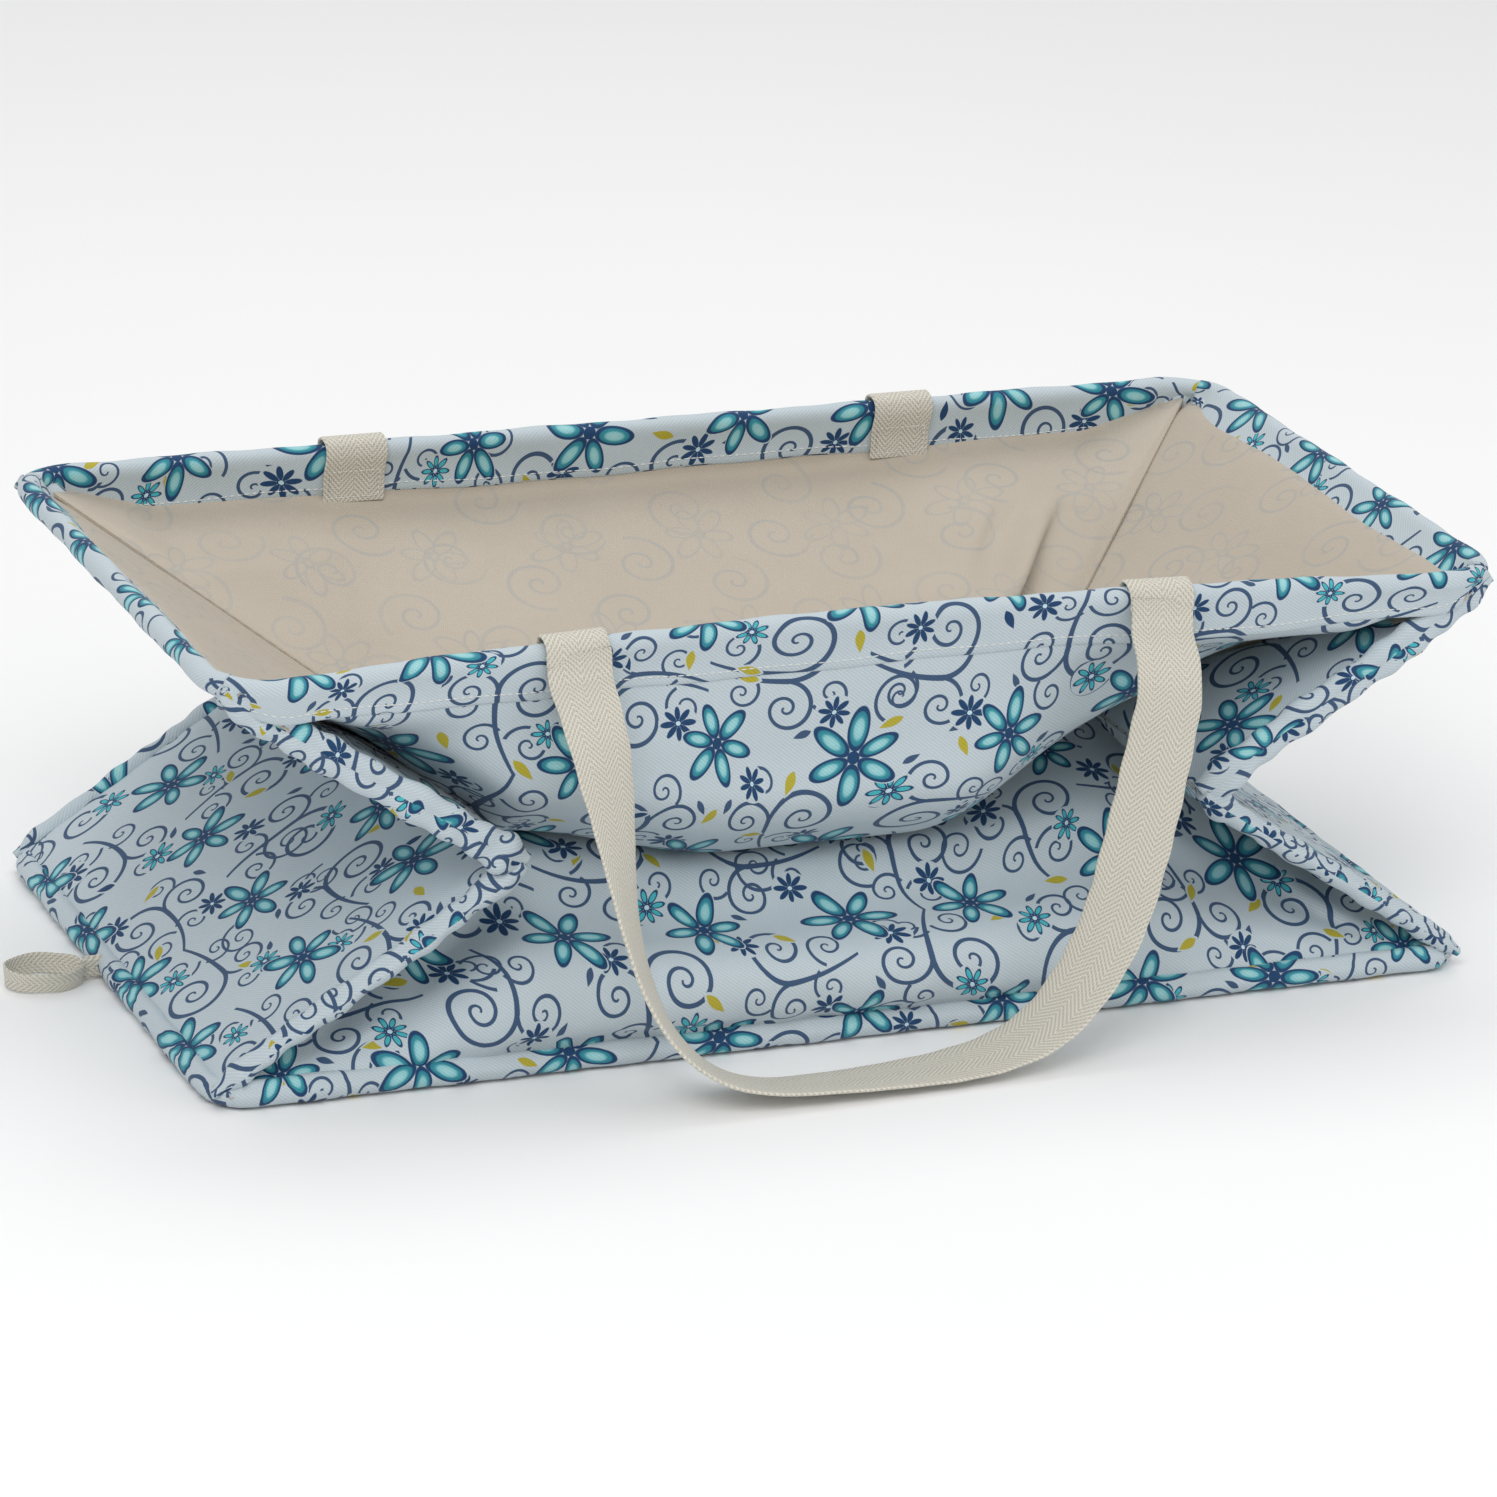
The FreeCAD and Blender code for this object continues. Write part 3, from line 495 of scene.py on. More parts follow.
def print_material(name):
    mat, g = new_mat(name)
    uv = cloth_uv(g)
    wn = g.t.nodes.new("ShaderNodeTexNoise"); wn.noise_dimensions = "2D"
    wn.inputs["Scale"].default_value = 0.011; wn.inputs["Detail"].default_value = 0.0
    g.t.links.new(uv, wn.inputs["Vector"])
    uvj = g.v("ADD", uv, g.v("MULTIPLY", g.v("SUBTRACT", wn.outputs[1], (0.5, 0.5, 0.5)), (14.0, 14.0, 0.0)))
    # vines: one branching sprig to a cell
    cell = 68.0
    p, val, r1, r2, r3 = lattice(g, uvj, cell, 0.0, (0.0, 0.0), 1.0)
    turn = g.m("MULTIPLY", g.m("FLOOR", g.m("MULTIPLY", r1, 4.0)), math.pi / 2)
    p = g.rot(p, g.m("ADD", turn, 0.0))
    flip = g.m("SUBTRACT", g.m("MULTIPLY", g.m("GREATER_THAN", r2, 0.5), 2.0), 1.0)
    p = g.v("MULTIPLY", p, g.comb(flip, 1.0, 1.0))

    def branch(root, R, head, sgn, tn, w0, w1, pw=1.6):
        """A scroll whose thick end leaves root; head is the way the stem runs back."""
        a = head - 90.0 * sgn
        cx = root[0] - R * math.cos(math.radians(a))
        cy = root[1] - R * math.sin(math.radians(a))
        return curl(g, p, cx, cy, R, tn, a, sgn, w0, w1, pw)
    ink = None
    for root, R, head, sgn, tn, w0, w1 in (((3.0, 0.0), 17.5, -98.0, -1, 2.4, 0.9, 2.5), ((3.0, 0.0), 13.0, -84.0, 1, 2.2, 0.9, 2.0),
                                           ((0.0, -14.0), 9.0, -120.0, 1, 1.9, 0.8, 1.6), ((-2.5, -18.0), 10.5, -70.0, -1, 2.0, 0.8, 1.7),
                                           ((14.0, 13.0), 9.0, -140.0, -1, 1.9, 0.8, 1.6)):
        k = branch(root, R, head, sgn, tn, w0, w1)
        ink = k if ink is None else g.m("MAXIMUM", ink, k)
    # the stem they leave
    q = g.v("SUBTRACT", p, (-77.0, 2.0, 0.0))
    x, y, _ = g.xyz(q)
    ds = g.m("ABSOLUTE", g.m("SUBTRACT", g.m("SQRT", g.m("ADD", g.m("MULTIPLY", x, x), g.m("MULTIPLY", y, y))), 80.0))
    ws = g.m("ADD", 1.35, g.m("MULTIPLY", y, 0.018))
    stem = g.m("MULTIPLY", g.m("ADD", g.m("DIVIDE", g.m("SUBTRACT", ws, ds), 0.22), 0.5, clamp=True),
               g.m("MULTIPLY", g.m("LESS_THAN", y, 0.0), g.m("GREATER_THAN", x, 60.0)))
    ink = g.m("MAXIMUM", ink, stem)
    bud = leaf(g, g.rot(g.v("SUBTRACT", p, (27.0, 10.0, 0.0)), 1.1), 4.2, 1.6)
    ink = g.m("MAXIMUM", ink, bud)
    # loose curls between the sprigs
    p2, v2, s1, s2, s3 = lattice(g, uvj, 48.0, 0.0, (0.18, 0.40), 2.0, 8.0)
    p2 = g.rot(p2, g.m("MULTIPLY", s1, 6.2832))
    k2 = curl(g, p2, 0.0, 0.0, 12.5, 2.1, 40.0, 1, 0.8, 1.7, 1.5)
    ink = g.m("MAXIMUM", ink, g.m("MULTIPLY", k2, g.m("LESS_THAN", v2, 0.55)))
    col = g.mix(g.m("MULTIPLY", ink, 0.93), GROUND, NAVY)
    # leaves
    p3, v3, q1, q2, q3 = lattice(g, uvj, 33.0, 0.35, (0.1, 0.45), 3.0, 14.0)
    p3 = g.rot(p3, g.m("MULTIPLY", q1, 6.2832))
    lf = g.m("MULTIPLY", leaf(g, p3, 5.6, 2.1), g.m("LESS_THAN", v3, 0.5))
    halo = g.m("MULTIPLY", leaf(g, p3, 7.0, 3.2), g.m("LESS_THAN", v3, 0.5))
    col = g.mix(halo, col, GROUND)
    leafc = g.mix(g.m("GREATER_THAN", q2, 0.74), OLIVE, NAVY)
    col = g.mix(lf, col, leafc)
    # small eight-petal flowers on the diagonal lattice
    d = cell / math.sqrt(2.0)
    p4, v4, t1, t2, t3 = lattice(g, uvj, d, math.pi / 4, (0.0, 0.5), 4.0, 9.0)
    p4 = g.rot(p4, g.m("MULTIPLY", t1, 6.2832))
    size4 = g.m("ADD", 7.0, g.m("MULTIPLY", t2, 2.6))
    e4, r4 = flower(g, p4, size4, 8, 0.165, 0.06, 0.57, 0.41)
    col = g.mix(g.m("LESS_THAN", r4, 1.08), col, GROUND)
    teal_on = g.m("GREATER_THAN", t3, 0.68)
    in4 = g.m("ADD", g.m("DIVIDE", g.m("SUBTRACT", 1.0, e4), 0.16), 0.5, clamp=True)
    small = g.mix(g.m("MULTIPLY", teal_on, g.m("LESS_THAN", e4, 0.66)), NAVY, srgb(70, 176, 186))
    small = g.mix(g.m("LESS_THAN", r4, 0.13), small, srgb(190, 215, 225))
    in4 = g.m("MAXIMUM", in4, g.m("LESS_THAN", r4, 0.2))
    col = g.mix(in4, col, small)
    # large six-petal flowers
    p5, v5, u1, u2, u3 = lattice(g, uvj, cell, 0.0, (0.5, 0.5), 5.0, 9.0)
    p5 = g.rot(p5, g.m("MULTIPLY", u1, 6.2832))
    size5 = g.m("ADD", 18.5, g.m("MULTIPLY", u2, 4.5))
    e5, r5 = flower(g, p5, size5, 6, 0.205, 0.07, 0.56, 0.44)
    halo5 = g.m("LESS_THAN", g.m("SUBTRACT", e5, g.m("DIVIDE", 1.6, size5)), 1.0)
    col = g.mix(halo5, col, GROUND)
    big = g.ramp(e5, [(0.0, AQUA), (0.40, srgb(140, 198, 203)), (0.56, TEAL), (0.72, srgb(44, 128, 146)), (0.80, NAVY), (1.0, NAVY)])
    mask5 = g.m("ADD", g.m("DIVIDE", g.m("SUBTRACT", 1.0, e5), 0.05), 0.5, clamp=True)
    mask5 = g.m("MAXIMUM", mask5, g.m("LESS_THAN", r5, 0.13))
    col = g.mix(mask5, col, big)
    # cloth: weave and a little unevenness
    tw = twill(g, uv)
    shade = g.m("ADD", 0.88, g.m("MULTIPLY", tw, 0.20))
    col = g.v("MULTIPLY", col, g.comb(shade, shade, shade))
    low = g.noise(uv, 0.02, 3.0, 0.6)
    h = g.m("ADD", g.m("MULTIPLY", tw, 0.35), g.m("MULTIPLY", low, 0.8))
    rough = g.m("ADD", 0.66, g.m("MULTIPLY", tw, 0.14))
    return finish(mat, g, col, rough, h, 0.5, 0.0006, sheen=0.12, spec=0.3)


def lining_material(name, ghost=True):
    mat, g = new_mat(name)
    uv = cloth_uv(g)
    a = srgb(190, 180, 165); b = srgb(177, 167, 152)
    n = g.noise(uv, 0.012, 4.0, 0.6)
    col = g.mix(n, a, b)
    if ghost:
        p, v, r1, r2, r3 = lattice(g, uv, 66.0, 0.0, (0.5, 0.5), 5.0, 8.0)
        p = g.rot(p, g.m("MULTIPLY", r1, 6.2832))
        e, r = flower(g, p, 18.0, 6, 0.225, 0.13, 0.55, 0.45)
        ring = g.m("SUBTRACT", 1.0, g.m("DIVIDE", g.m("ABSOLUTE", g.m("SUBTRACT", e, 0.95)), 0.22), clamp=True)
        p2, v2, s1, s2, s3 = lattice(g, uv, 44.0, 0.62, (0.3, 0.1), 2.0, 10.0)
        p2 = g.rot(p2, g.m("MULTIPLY", s1, 6.2832))
        k2 = curl(g, p2, 0.0, 0.0, 18.5, 2.15, 40.0, 1, 1.6, 2.2, 1.5)
        gh = g.m("MULTIPLY", g.m("MAXIMUM", ring, g.m("MULTIPLY", k2, 0.8)), g.m("MULTIPLY", g.noise(uv, 0.03, 2.0), 0.62))
        col = g.mix(gh, col, srgb(140, 150, 156))
    tw = twill(g, uv)
    fine = g.noise(uv, 0.6, 2.0, 0.6)
    shade = g.m("ADD", 0.95, g.m("MULTIPLY", tw, 0.07))
    col = g.v("MULTIPLY", col, g.comb(shade, shade, shade))
    low = g.noise(uv, 0.035, 3.0, 0.55)
    h = g.m("ADD", g.m("ADD", g.m("MULTIPLY", tw, 0.18), g.m("MULTIPLY", low, 1.3)), g.m("MULTIPLY", fine, 0.12))
    rough = g.m("ADD", 0.42, g.m("MULTIPLY", n, 0.16))
    return finish(mat, g, col, rough, h, 0.6, 0.0011, sheen=0.05, spec=0.42)


def webbing_material(name):
    """Herringbone: the cloth's u runs along the strap, v across it (0 at the middle)."""
    mat, g = new_mat(name)
    uv = cloth_uv(g)
    x, y, _ = g.xyz(uv)
    z = g.m("PINGPONG", g.m("ADD", y, 30.0), 7.5)
    d = g.m("ADD", g.m("MULTIPLY", x, 1.0), g.m("MULTIPLY", z, 1.15))
    rib = g.m("ADD", 0.5, g.m("MULTIPLY", 0.5, g.m("SINE", g.m("MULTIPLY", d, 2 * math.pi / 2.6))))
    pick = g.m("ADD", 0.5, g.m("MULTIPLY", 0.5, g.m("SINE", g.m("MULTIPLY", x, 2 * math.pi / 0.95))))
    warp = g.m("ADD", 0.5, g.m("MULTIPLY", 0.5, g.m("SINE", g.m("MULTIPLY", y, 2 * math.pi / 1.25))))
    h = g.m("ADD", g.m("MULTIPLY", rib, 0.6), g.m("ADD", g.m("MULTIPLY", pick, 0.2), g.m("MULTIPLY", warp, 0.3)))
    fuzz = g.noise(uv, 0.35, 3.0, 0.6)
    base = g.mix(h, srgb(170, 166, 153), srgb(226, 223, 213))
    base = g.mix(g.m("MULTIPLY", fuzz, 0.3), base, srgb(222, 212, 188))
    edge = g.m("SUBTRACT", 1.0, g.m("MULTIPLY", g.m("LESS_THAN", g.m("ABSOLUTE", g.m("SUBTRACT", z, 3.75)), 3.1), 0.0))
    base = g.v("MULTIPLY", base, g.comb(edge, edge, edge))
    return finish(mat, g, base, g.m("ADD", 0.62, g.m("MULTIPLY", fuzz, 0.2)), h, 0.8, 0.0007, sheen=0.25, spec=0.25)


def plain_material(name, c0, c1, scale, rough, metal=0.0, bump=0.0003, anis=0.0):
    mat, g = new_mat(name)
    tc = g.t.nodes.new("ShaderNodeTexCoord")
    n = g.noise(tc.outputs["Object"], scale, 4.0, 0.6)
    col = g.mix(n, c0, c1)
    b = mat.node_tree.nodes.get("Principled BSDF")
    b.inputs["Metallic"].default_value = metal
    return finish(mat, g, col, g.m("ADD", rough, g.m("MULTIPLY", n, 0.15)), n, 0.4, bump, sheen=0.0, spec=0.5)


M_PRINT = print_material("printed_twill")
M_LINE = lining_material("coated_lining")
M_WEB = webbing_material("cream_webbing")
M_THREAD = plain_material("white_thread", srgb(236, 236, 232), srgb(214, 216, 214), 900.0, 0.6)
M_BOARD = plain_material("grey_board", srgb(74, 74, 76), srgb(60, 60, 62), 240.0, 0.6)
M_STEEL = plain_material("spring_wire", srgb(168, 168, 170), srgb(132, 132, 136), 400.0, 0.28, metal=1.0, bump=0.0001)
M_ALU = plain_material("crimped_sleeve", srgb(188, 189, 192), srgb(158, 160, 164), 500.0, 0.35, metal=1.0, bump=0.0002)

for node, obj in frame["nodes"].items():
    m = None
    if node.endswith("_board"):
        m = M_BOARD
    elif node == "rim_wire":
        m = M_STEEL
    elif node == "rim_ferrule":
        m = M_ALU
    if m is not None:
        for s_ in obj.material_slots:
            s_.material = m
        if not obj.material_slots:
            obj.data.materials.append(m)


# ---------------------------------------------------------------- long walls
# A wall half is a grid: i along the tote, j from the hinge to the crease.
# D is the distance inwards from the hinge line, Hh the distance towards the
# crease along z.  The cloth's v is the distance from the hinge line.
MITRE = 6.5


def prof(points, q):
    pts = np.array(points, float)
    L = np.concatenate([[0], np.cumsum(np.linalg.norm(np.diff(pts, axis=0), axis=1))])
    L /= L[-1]
    # smooth through the points (Catmull-Rom on the normalised length)
    out = np.zeros(q.shape + (2,))
    k = np.clip(np.searchsorted(L, q, side="right") - 1, 0, len(L) - 2)
    p0, p1, p2, p3 = pts[np.maximum(k - 1, 0)], pts[k], pts[k + 1], pts[np.minimum(k + 2, len(pts) - 1)]
    t = ((q - L[k]) / (L[k + 1] - L[k]))[..., None]
    out = 0.5 * ((2 * p1) + (-p0 + p2) * t + (2 * p0 - 5 * p1 + 4 * p2 - p3) * t ** 2 + (-p0 + 3 * p1 - 3 * p2 + p3) * t ** 3)
    return out


SHAPES = {
    # (D, H) from the hinge; the last point is the crease at the middle of the wall
    ("front", "lower"): [(0, 0), (2.5, 4), (2, 7.5), (-4, 12), (-6.5, 19), (-5, 28), (2, 35), (13, 38.5), (29, 40), (41, 44), (48, 52), (55, 60), (70, 63.5), (100, 67), (136.4, 73)],
    ("front", "upper"): [(0, 0), (0, 40), (0, 68), (4, 82), (18, 95), (38, 107), (53, 115.5), (63, 117.5), (80, 116), (100, 113.5), (136.4, 109)],
    ("back", "lower"): [(0, 0), (2.5, 4), (2, 7.5), (-4, 12), (-5, 19), (6, 26), (28, 36), (62, 54), (100, 74), (136.4, 96)],
    ("back", "upper"): [(0, 0), (0, 22), (14, 32), (40, 44), (72, 57), (104, 72), (136.4, 87)],
}
WALL = {}


def wall(side, level):
    sy = -1.0 if side == "front" else 1.0
    up = 1.0 if level == "lower" else -1.0
    h0 = hz if level == "lower" else rz
    nx, nq = 161, 46
    xs = np.linspace(-(HL - 7.0), HL - 7.0, nx)
    q = np.linspace(0.02 if level == "lower" else 0.05, 1.0, nq)
    X, Q = np.meshgrid(xs, q, indexing="ij")
    XP = HL - np.abs(X)                                     # distance from the end
    rho = np.minimum(PA, np.maximum(XP - MITRE, 2.0) / S)   # length of the folding line
    mid = sstep(95.0, 215.0, XP)                            # 0 by the pleats, 1 in the middle
    if side == "front":
        mid = np.where(X > 0, sstep(80.0, 262.0, XP), sstep(40.0, 150.0, XP))
    sh = prof(SHAPES[(side, level)], Q)
    endD, endH = SHAPES[(side, level)][-1]
    # the crease runs on from the end of the folding line and settles lower
    run = sstep(PA * S + MITRE, 258.0, XP)
    eD = rho * S + (endD - DI) * run
    eH = rho * C + (endH - HI) * run
    lin = np.stack([Q * eD, Q * eH], -1)
    soft = sh * np.stack([eD / endD, eH / endH], -1)
    puff = (0.24 if level == "upper" else 0.18) * sstep(0, 60, XP)
    m = np.clip(mid + puff * (1 - mid), 0, 1)[..., None]
    P2 = lin * (1 - m) + soft * m
    if level == "upper":
        # the cloth hangs straight inside the hem band and bends in below it
        ha = np.minimum(17.0, 0.45 * eH)
        hb = np.minimum(36.0, 0.88 * eH)
        t_ = np.clip((P2[..., 1] - ha) / (hb - ha), 0, 1)
        P2[..., 0] *= t_ * t_ * (3 - 2 * t_)
    # wrinkles, none where the cloth is held at the rim or base and little
    # where the two halves lie on each other
    if level == "upper":
        fade = sstep(26, 62, P2[..., 1]) * (1 - sstep(0.86, 1.0, Q))
    else:
        fade = sstep(6, 22, P2[..., 1]) * (1 - sstep(0.86, 1.0, Q))
    nest = mid * sstep(38, 60, P2[..., 0]) if side == "front" else 0.0
    fade = fade * (1 - 0.9 * nest)
    seed = {"front": 11, "back": 23}[side] + (0 if level == "lower" else 5)
    amp = 2.8 if level == "upper" else 2.0
    wr = amp * wob(X, Q * 165, seed, 125) + 0.9 * wob(X, Q * 165, seed + 1, 52)
    # folds that fan out of the corners
    for ex in (-1.0, 1.0):
        dx = HL - ex * X
        ang = np.arctan2(Q * 165 + 8, dx + 8)
        rr = np.hypot(dx, Q * 165)
        near = np.exp(-(rr / 165.0) ** 2) * sstep(15, 70, rr)
        wr = wr + near * (3.6 * np.sin(ang * 11 + ex * 1.3 + seed) + 2.0 * np.sin(ang * 19 + seed))
        if side == "back" and level == "upper" and ex > 0:
            # bunched cloth in the far corner
            for a0, wd, hgt, r0, r1 in ((0.60, 0.075, 27.0, 60, 240), (0.40, 0.050, 17.0, 60, 225), (0.50, 0.030, -9.0, 50, 220), (0.27, 0.040, 9.0, 80, 250)):
                bend = 0.10 * np.sin(rr / 46.0 + a0 * 9)
                wr = wr + hgt * np.exp(-((ang - a0 - bend) / wd) ** 2) * sstep(18, r0 + 50, rr) * (1 - sstep(r1 - 50, r1, rr))
    P2[..., 0] += wr * fade * (0.35 + 0.65 * sstep(0, 90, XP))
    P2[..., 1] += 0.3 * wr * fade * mid
    if level == "lower":
        # puckers just above the base seam
        P2[..., 0] += 0.9 * np.sin(X / 6.3 + 2.0 * np.sin(X / 31.0)) * np.exp(-((P2[..., 1] - 11) / 6.0) ** 2)
    D, Hh = P2[..., 0], P2[..., 1]
    if side == "front" and level == "upper":
        B = bow(X) * (1 - sstep(30.0, 150.0, Hh))
        D = D + bow(X) * (1 - sstep(60.0, 125.0, Hh))
    else:
        B = np.zeros_like(D)
    Hh = np.maximum(Hh, 0.0)
    r = np.hypot(D, Hh)
    th = np.arctan2(D, np.maximum(Hh, 1e-6))
    P = np.stack([X, sy * HW - sy * D, h0 + up * Hh], -1)
    target = np.arcsin(np.clip(B / np.maximum(r, 1.0), -1, 1)) if np.any(B) else 0.0
    w = (th - target) / PHI
    w = np.clip(w, -0.8, 1.35)
    arc = np.concatenate([Hh[:, :1], Hh[:, :1] + np.cumsum(np.hypot(np.diff(D, axis=1), np.diff(Hh, axis=1)), axis=1)], 1)
    vcoord = arc if level == "lower" else 2 * PA - arc
    UV = np.stack([X + (0 if side == "front" else 900.0), vcoord], -1)
    # wall outside face: away from the middle of the tote
    name = "%s_%s_wall" % (side, level)
    n = grid_normals(P)
    # make normals point outwards (towards sy)
    ref = np.stack([np.zeros_like(X), sy * Hh * 1.0 + sy * 1e-3, -up * D], -1) if False else None
    flip = 1.0
    tang = np.array([1.0, 0, 0])
    # direction from hinge to crease
    d = P[nx // 2, 5] - P[nx // 2, 0]
    outd = np.array([0, sy, 0.0]) + np.array([0, 0, 1e-3])
    if np.dot(n[nx // 2, 3], outd) < 0:
        flip = -1.0
    ob = shell(name, P, UV, 1.2, [M_PRINT, M_LINE], out_sign=flip, rim_mat=1)
    W2 = np.concatenate([w.reshape(-1), w.reshape(-1)])
    base_body = "base" if level == "lower" else "rim"
    weights(ob, base_body, "%s_%s" % (side, level), W2)
    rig.replaces(ob, "%s_%s_cloth" % (side, level), "%s_%s_lining" % (side, level))
    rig.slot(ob, "print_fabric")
    WALL[(side, level)] = (xs, P, w)
    return ob


for side in ("front", "back"):
    for level in ("lower", "upper"):
        wall(side, level)


# --------------------------------------------------------------- corner pleats
def pleat(side, end, level):
    sy = -1.0 if side == "front" else 1.0
    sx = -1.0 if end == "left" else 1.0
    up = 1.0 if level == "lower" else -1.0
    h0 = hz if level == "lower" else rz
    corner = np.array([sx * HL, sy * HW, h0])
    beta = math.atan(S)
    c = np.array([-sx * math.sin(beta), -sy * math.cos(beta) * S, up * math.cos(beta) * C])
    e = np.array([-sx * S, 0, up * C])
    n_in = np.array([-sx * C, 0, -up * S])                 # off the board, inwards
    ep = e - c * e.dot(c); ep /= np.linalg.norm(ep)
    ni, nj = 48, 28
    PE = PA - 0.4                                          # meets the other half at the crease
    sc = np.linspace(9.0, PE / math.cos(beta), ni)
    tj = np.linspace(0, 1, nj)
    SC, TJ = np.meshgrid(sc, tj, indexing="ij")
    wmax = np.maximum(SC * math.tan(beta) - 4.5 * sstep(10.0, 42.0, SC), 1.0)
    SP = TJ * wmax
    flat_r = SC * math.cos(beta) + SP * math.sin(beta)
    # the far end of the triangle is cut by the crease line
    k = np.where(flat_r > PE, (PE - SC * math.cos(beta)) / np.maximum(SP * math.sin(beta), 1e-6), 1.0)
    SP = SP * np.clip(k, 0, 1)
    flat_x = SC * math.sin(beta) - SP * math.cos(beta)
    flat_r = SC * math.cos(beta) + SP * math.sin(beta)
    seed = {"front": 3, "back": 7}[side] + {"left": 1, "right": 2}[end] * 10 + (0 if level == "lower" else 4)
    room = sstep(0, 18, SP) * (1 - sstep(-18, -1, SP - wmax)) * (1 - 0.7 * sstep(PA - 20, PA, flat_r))
    bulge = room * (0.8 + 0.6 * wob(SC, SP, seed, 40))
    if level == "lower":
        bulge = bulge * 2.2
    s0_ = sstep(0, 12, SP)
    edge_in = 1 - sstep(-12, -1, SP - wmax)
    near = sstep(20, 95, SC)
    lift = -0.35 * (1 - s0_) + s0_ * (0.6 + 3.0 * edge_in * (0.3 + 0.7 * near)) + bulge * near
    # it comes down to the board's own edge at the crease
    lift = np.where(lift > 0.75, 0.75 + (lift - 0.75) * sstep(0.0, 12.0, PA - flat_r), lift)
    P = corner + SC[..., None] * c + SP[..., None] * ep + lift[..., None] * n_in
    # it starts right under the wall's own mitre edge
    s1_ = sstep(0, 1, SP / (12.0 - 8.0 * sstep(PA - 46, PA - 6, flat_r)))
    P = P + np.array([-sx, 0, 0]) * (MITRE * (1 - s1_))[..., None]
    UV = np.stack([sx * (HL - flat_x) + (0 if side == "front" else 900.0), flat_r if level == "lower" else 330 - flat_r], -1)
    n = grid_normals(P)
    flip = -1.0 if np.dot(n[ni // 2, nj // 2], n_in) > 0 else 1.0
    ob = shell("%s_%s_%s_pleat_cloth" % (side, end, level), P, UV, 1.1, [M_PRINT, M_LINE], out_sign=-flip, rim_mat=1)
    full = (180.0 - math.degrees(math.acos(S * S))) / (math.degrees(PHI) * RATIO_T)
    # a soft fold that tightens where it meets the crease
    u_ = np.clip((SP - 0.8) / (17.2 - 12.6 * sstep(PA - 46, PA - 6, flat_r)), 0, 1)
    w = u_ * u_ * (3 - 2 * u_) * full
    weights(ob, "%s_%s" % (side, level), "%s_%s_%s_pleat" % (side, end, level), np.concatenate([w.reshape(-1)] * 2))
    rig.replaces(ob, "%s_%s_%s_pleat" % (side, end, level))
    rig.slot(ob, "print_fabric")
    return ob


for side in ("front", "back"):
    for end in ("left", "right"):
        for level in ("lower", "upper"):
            pleat(side, end, level)


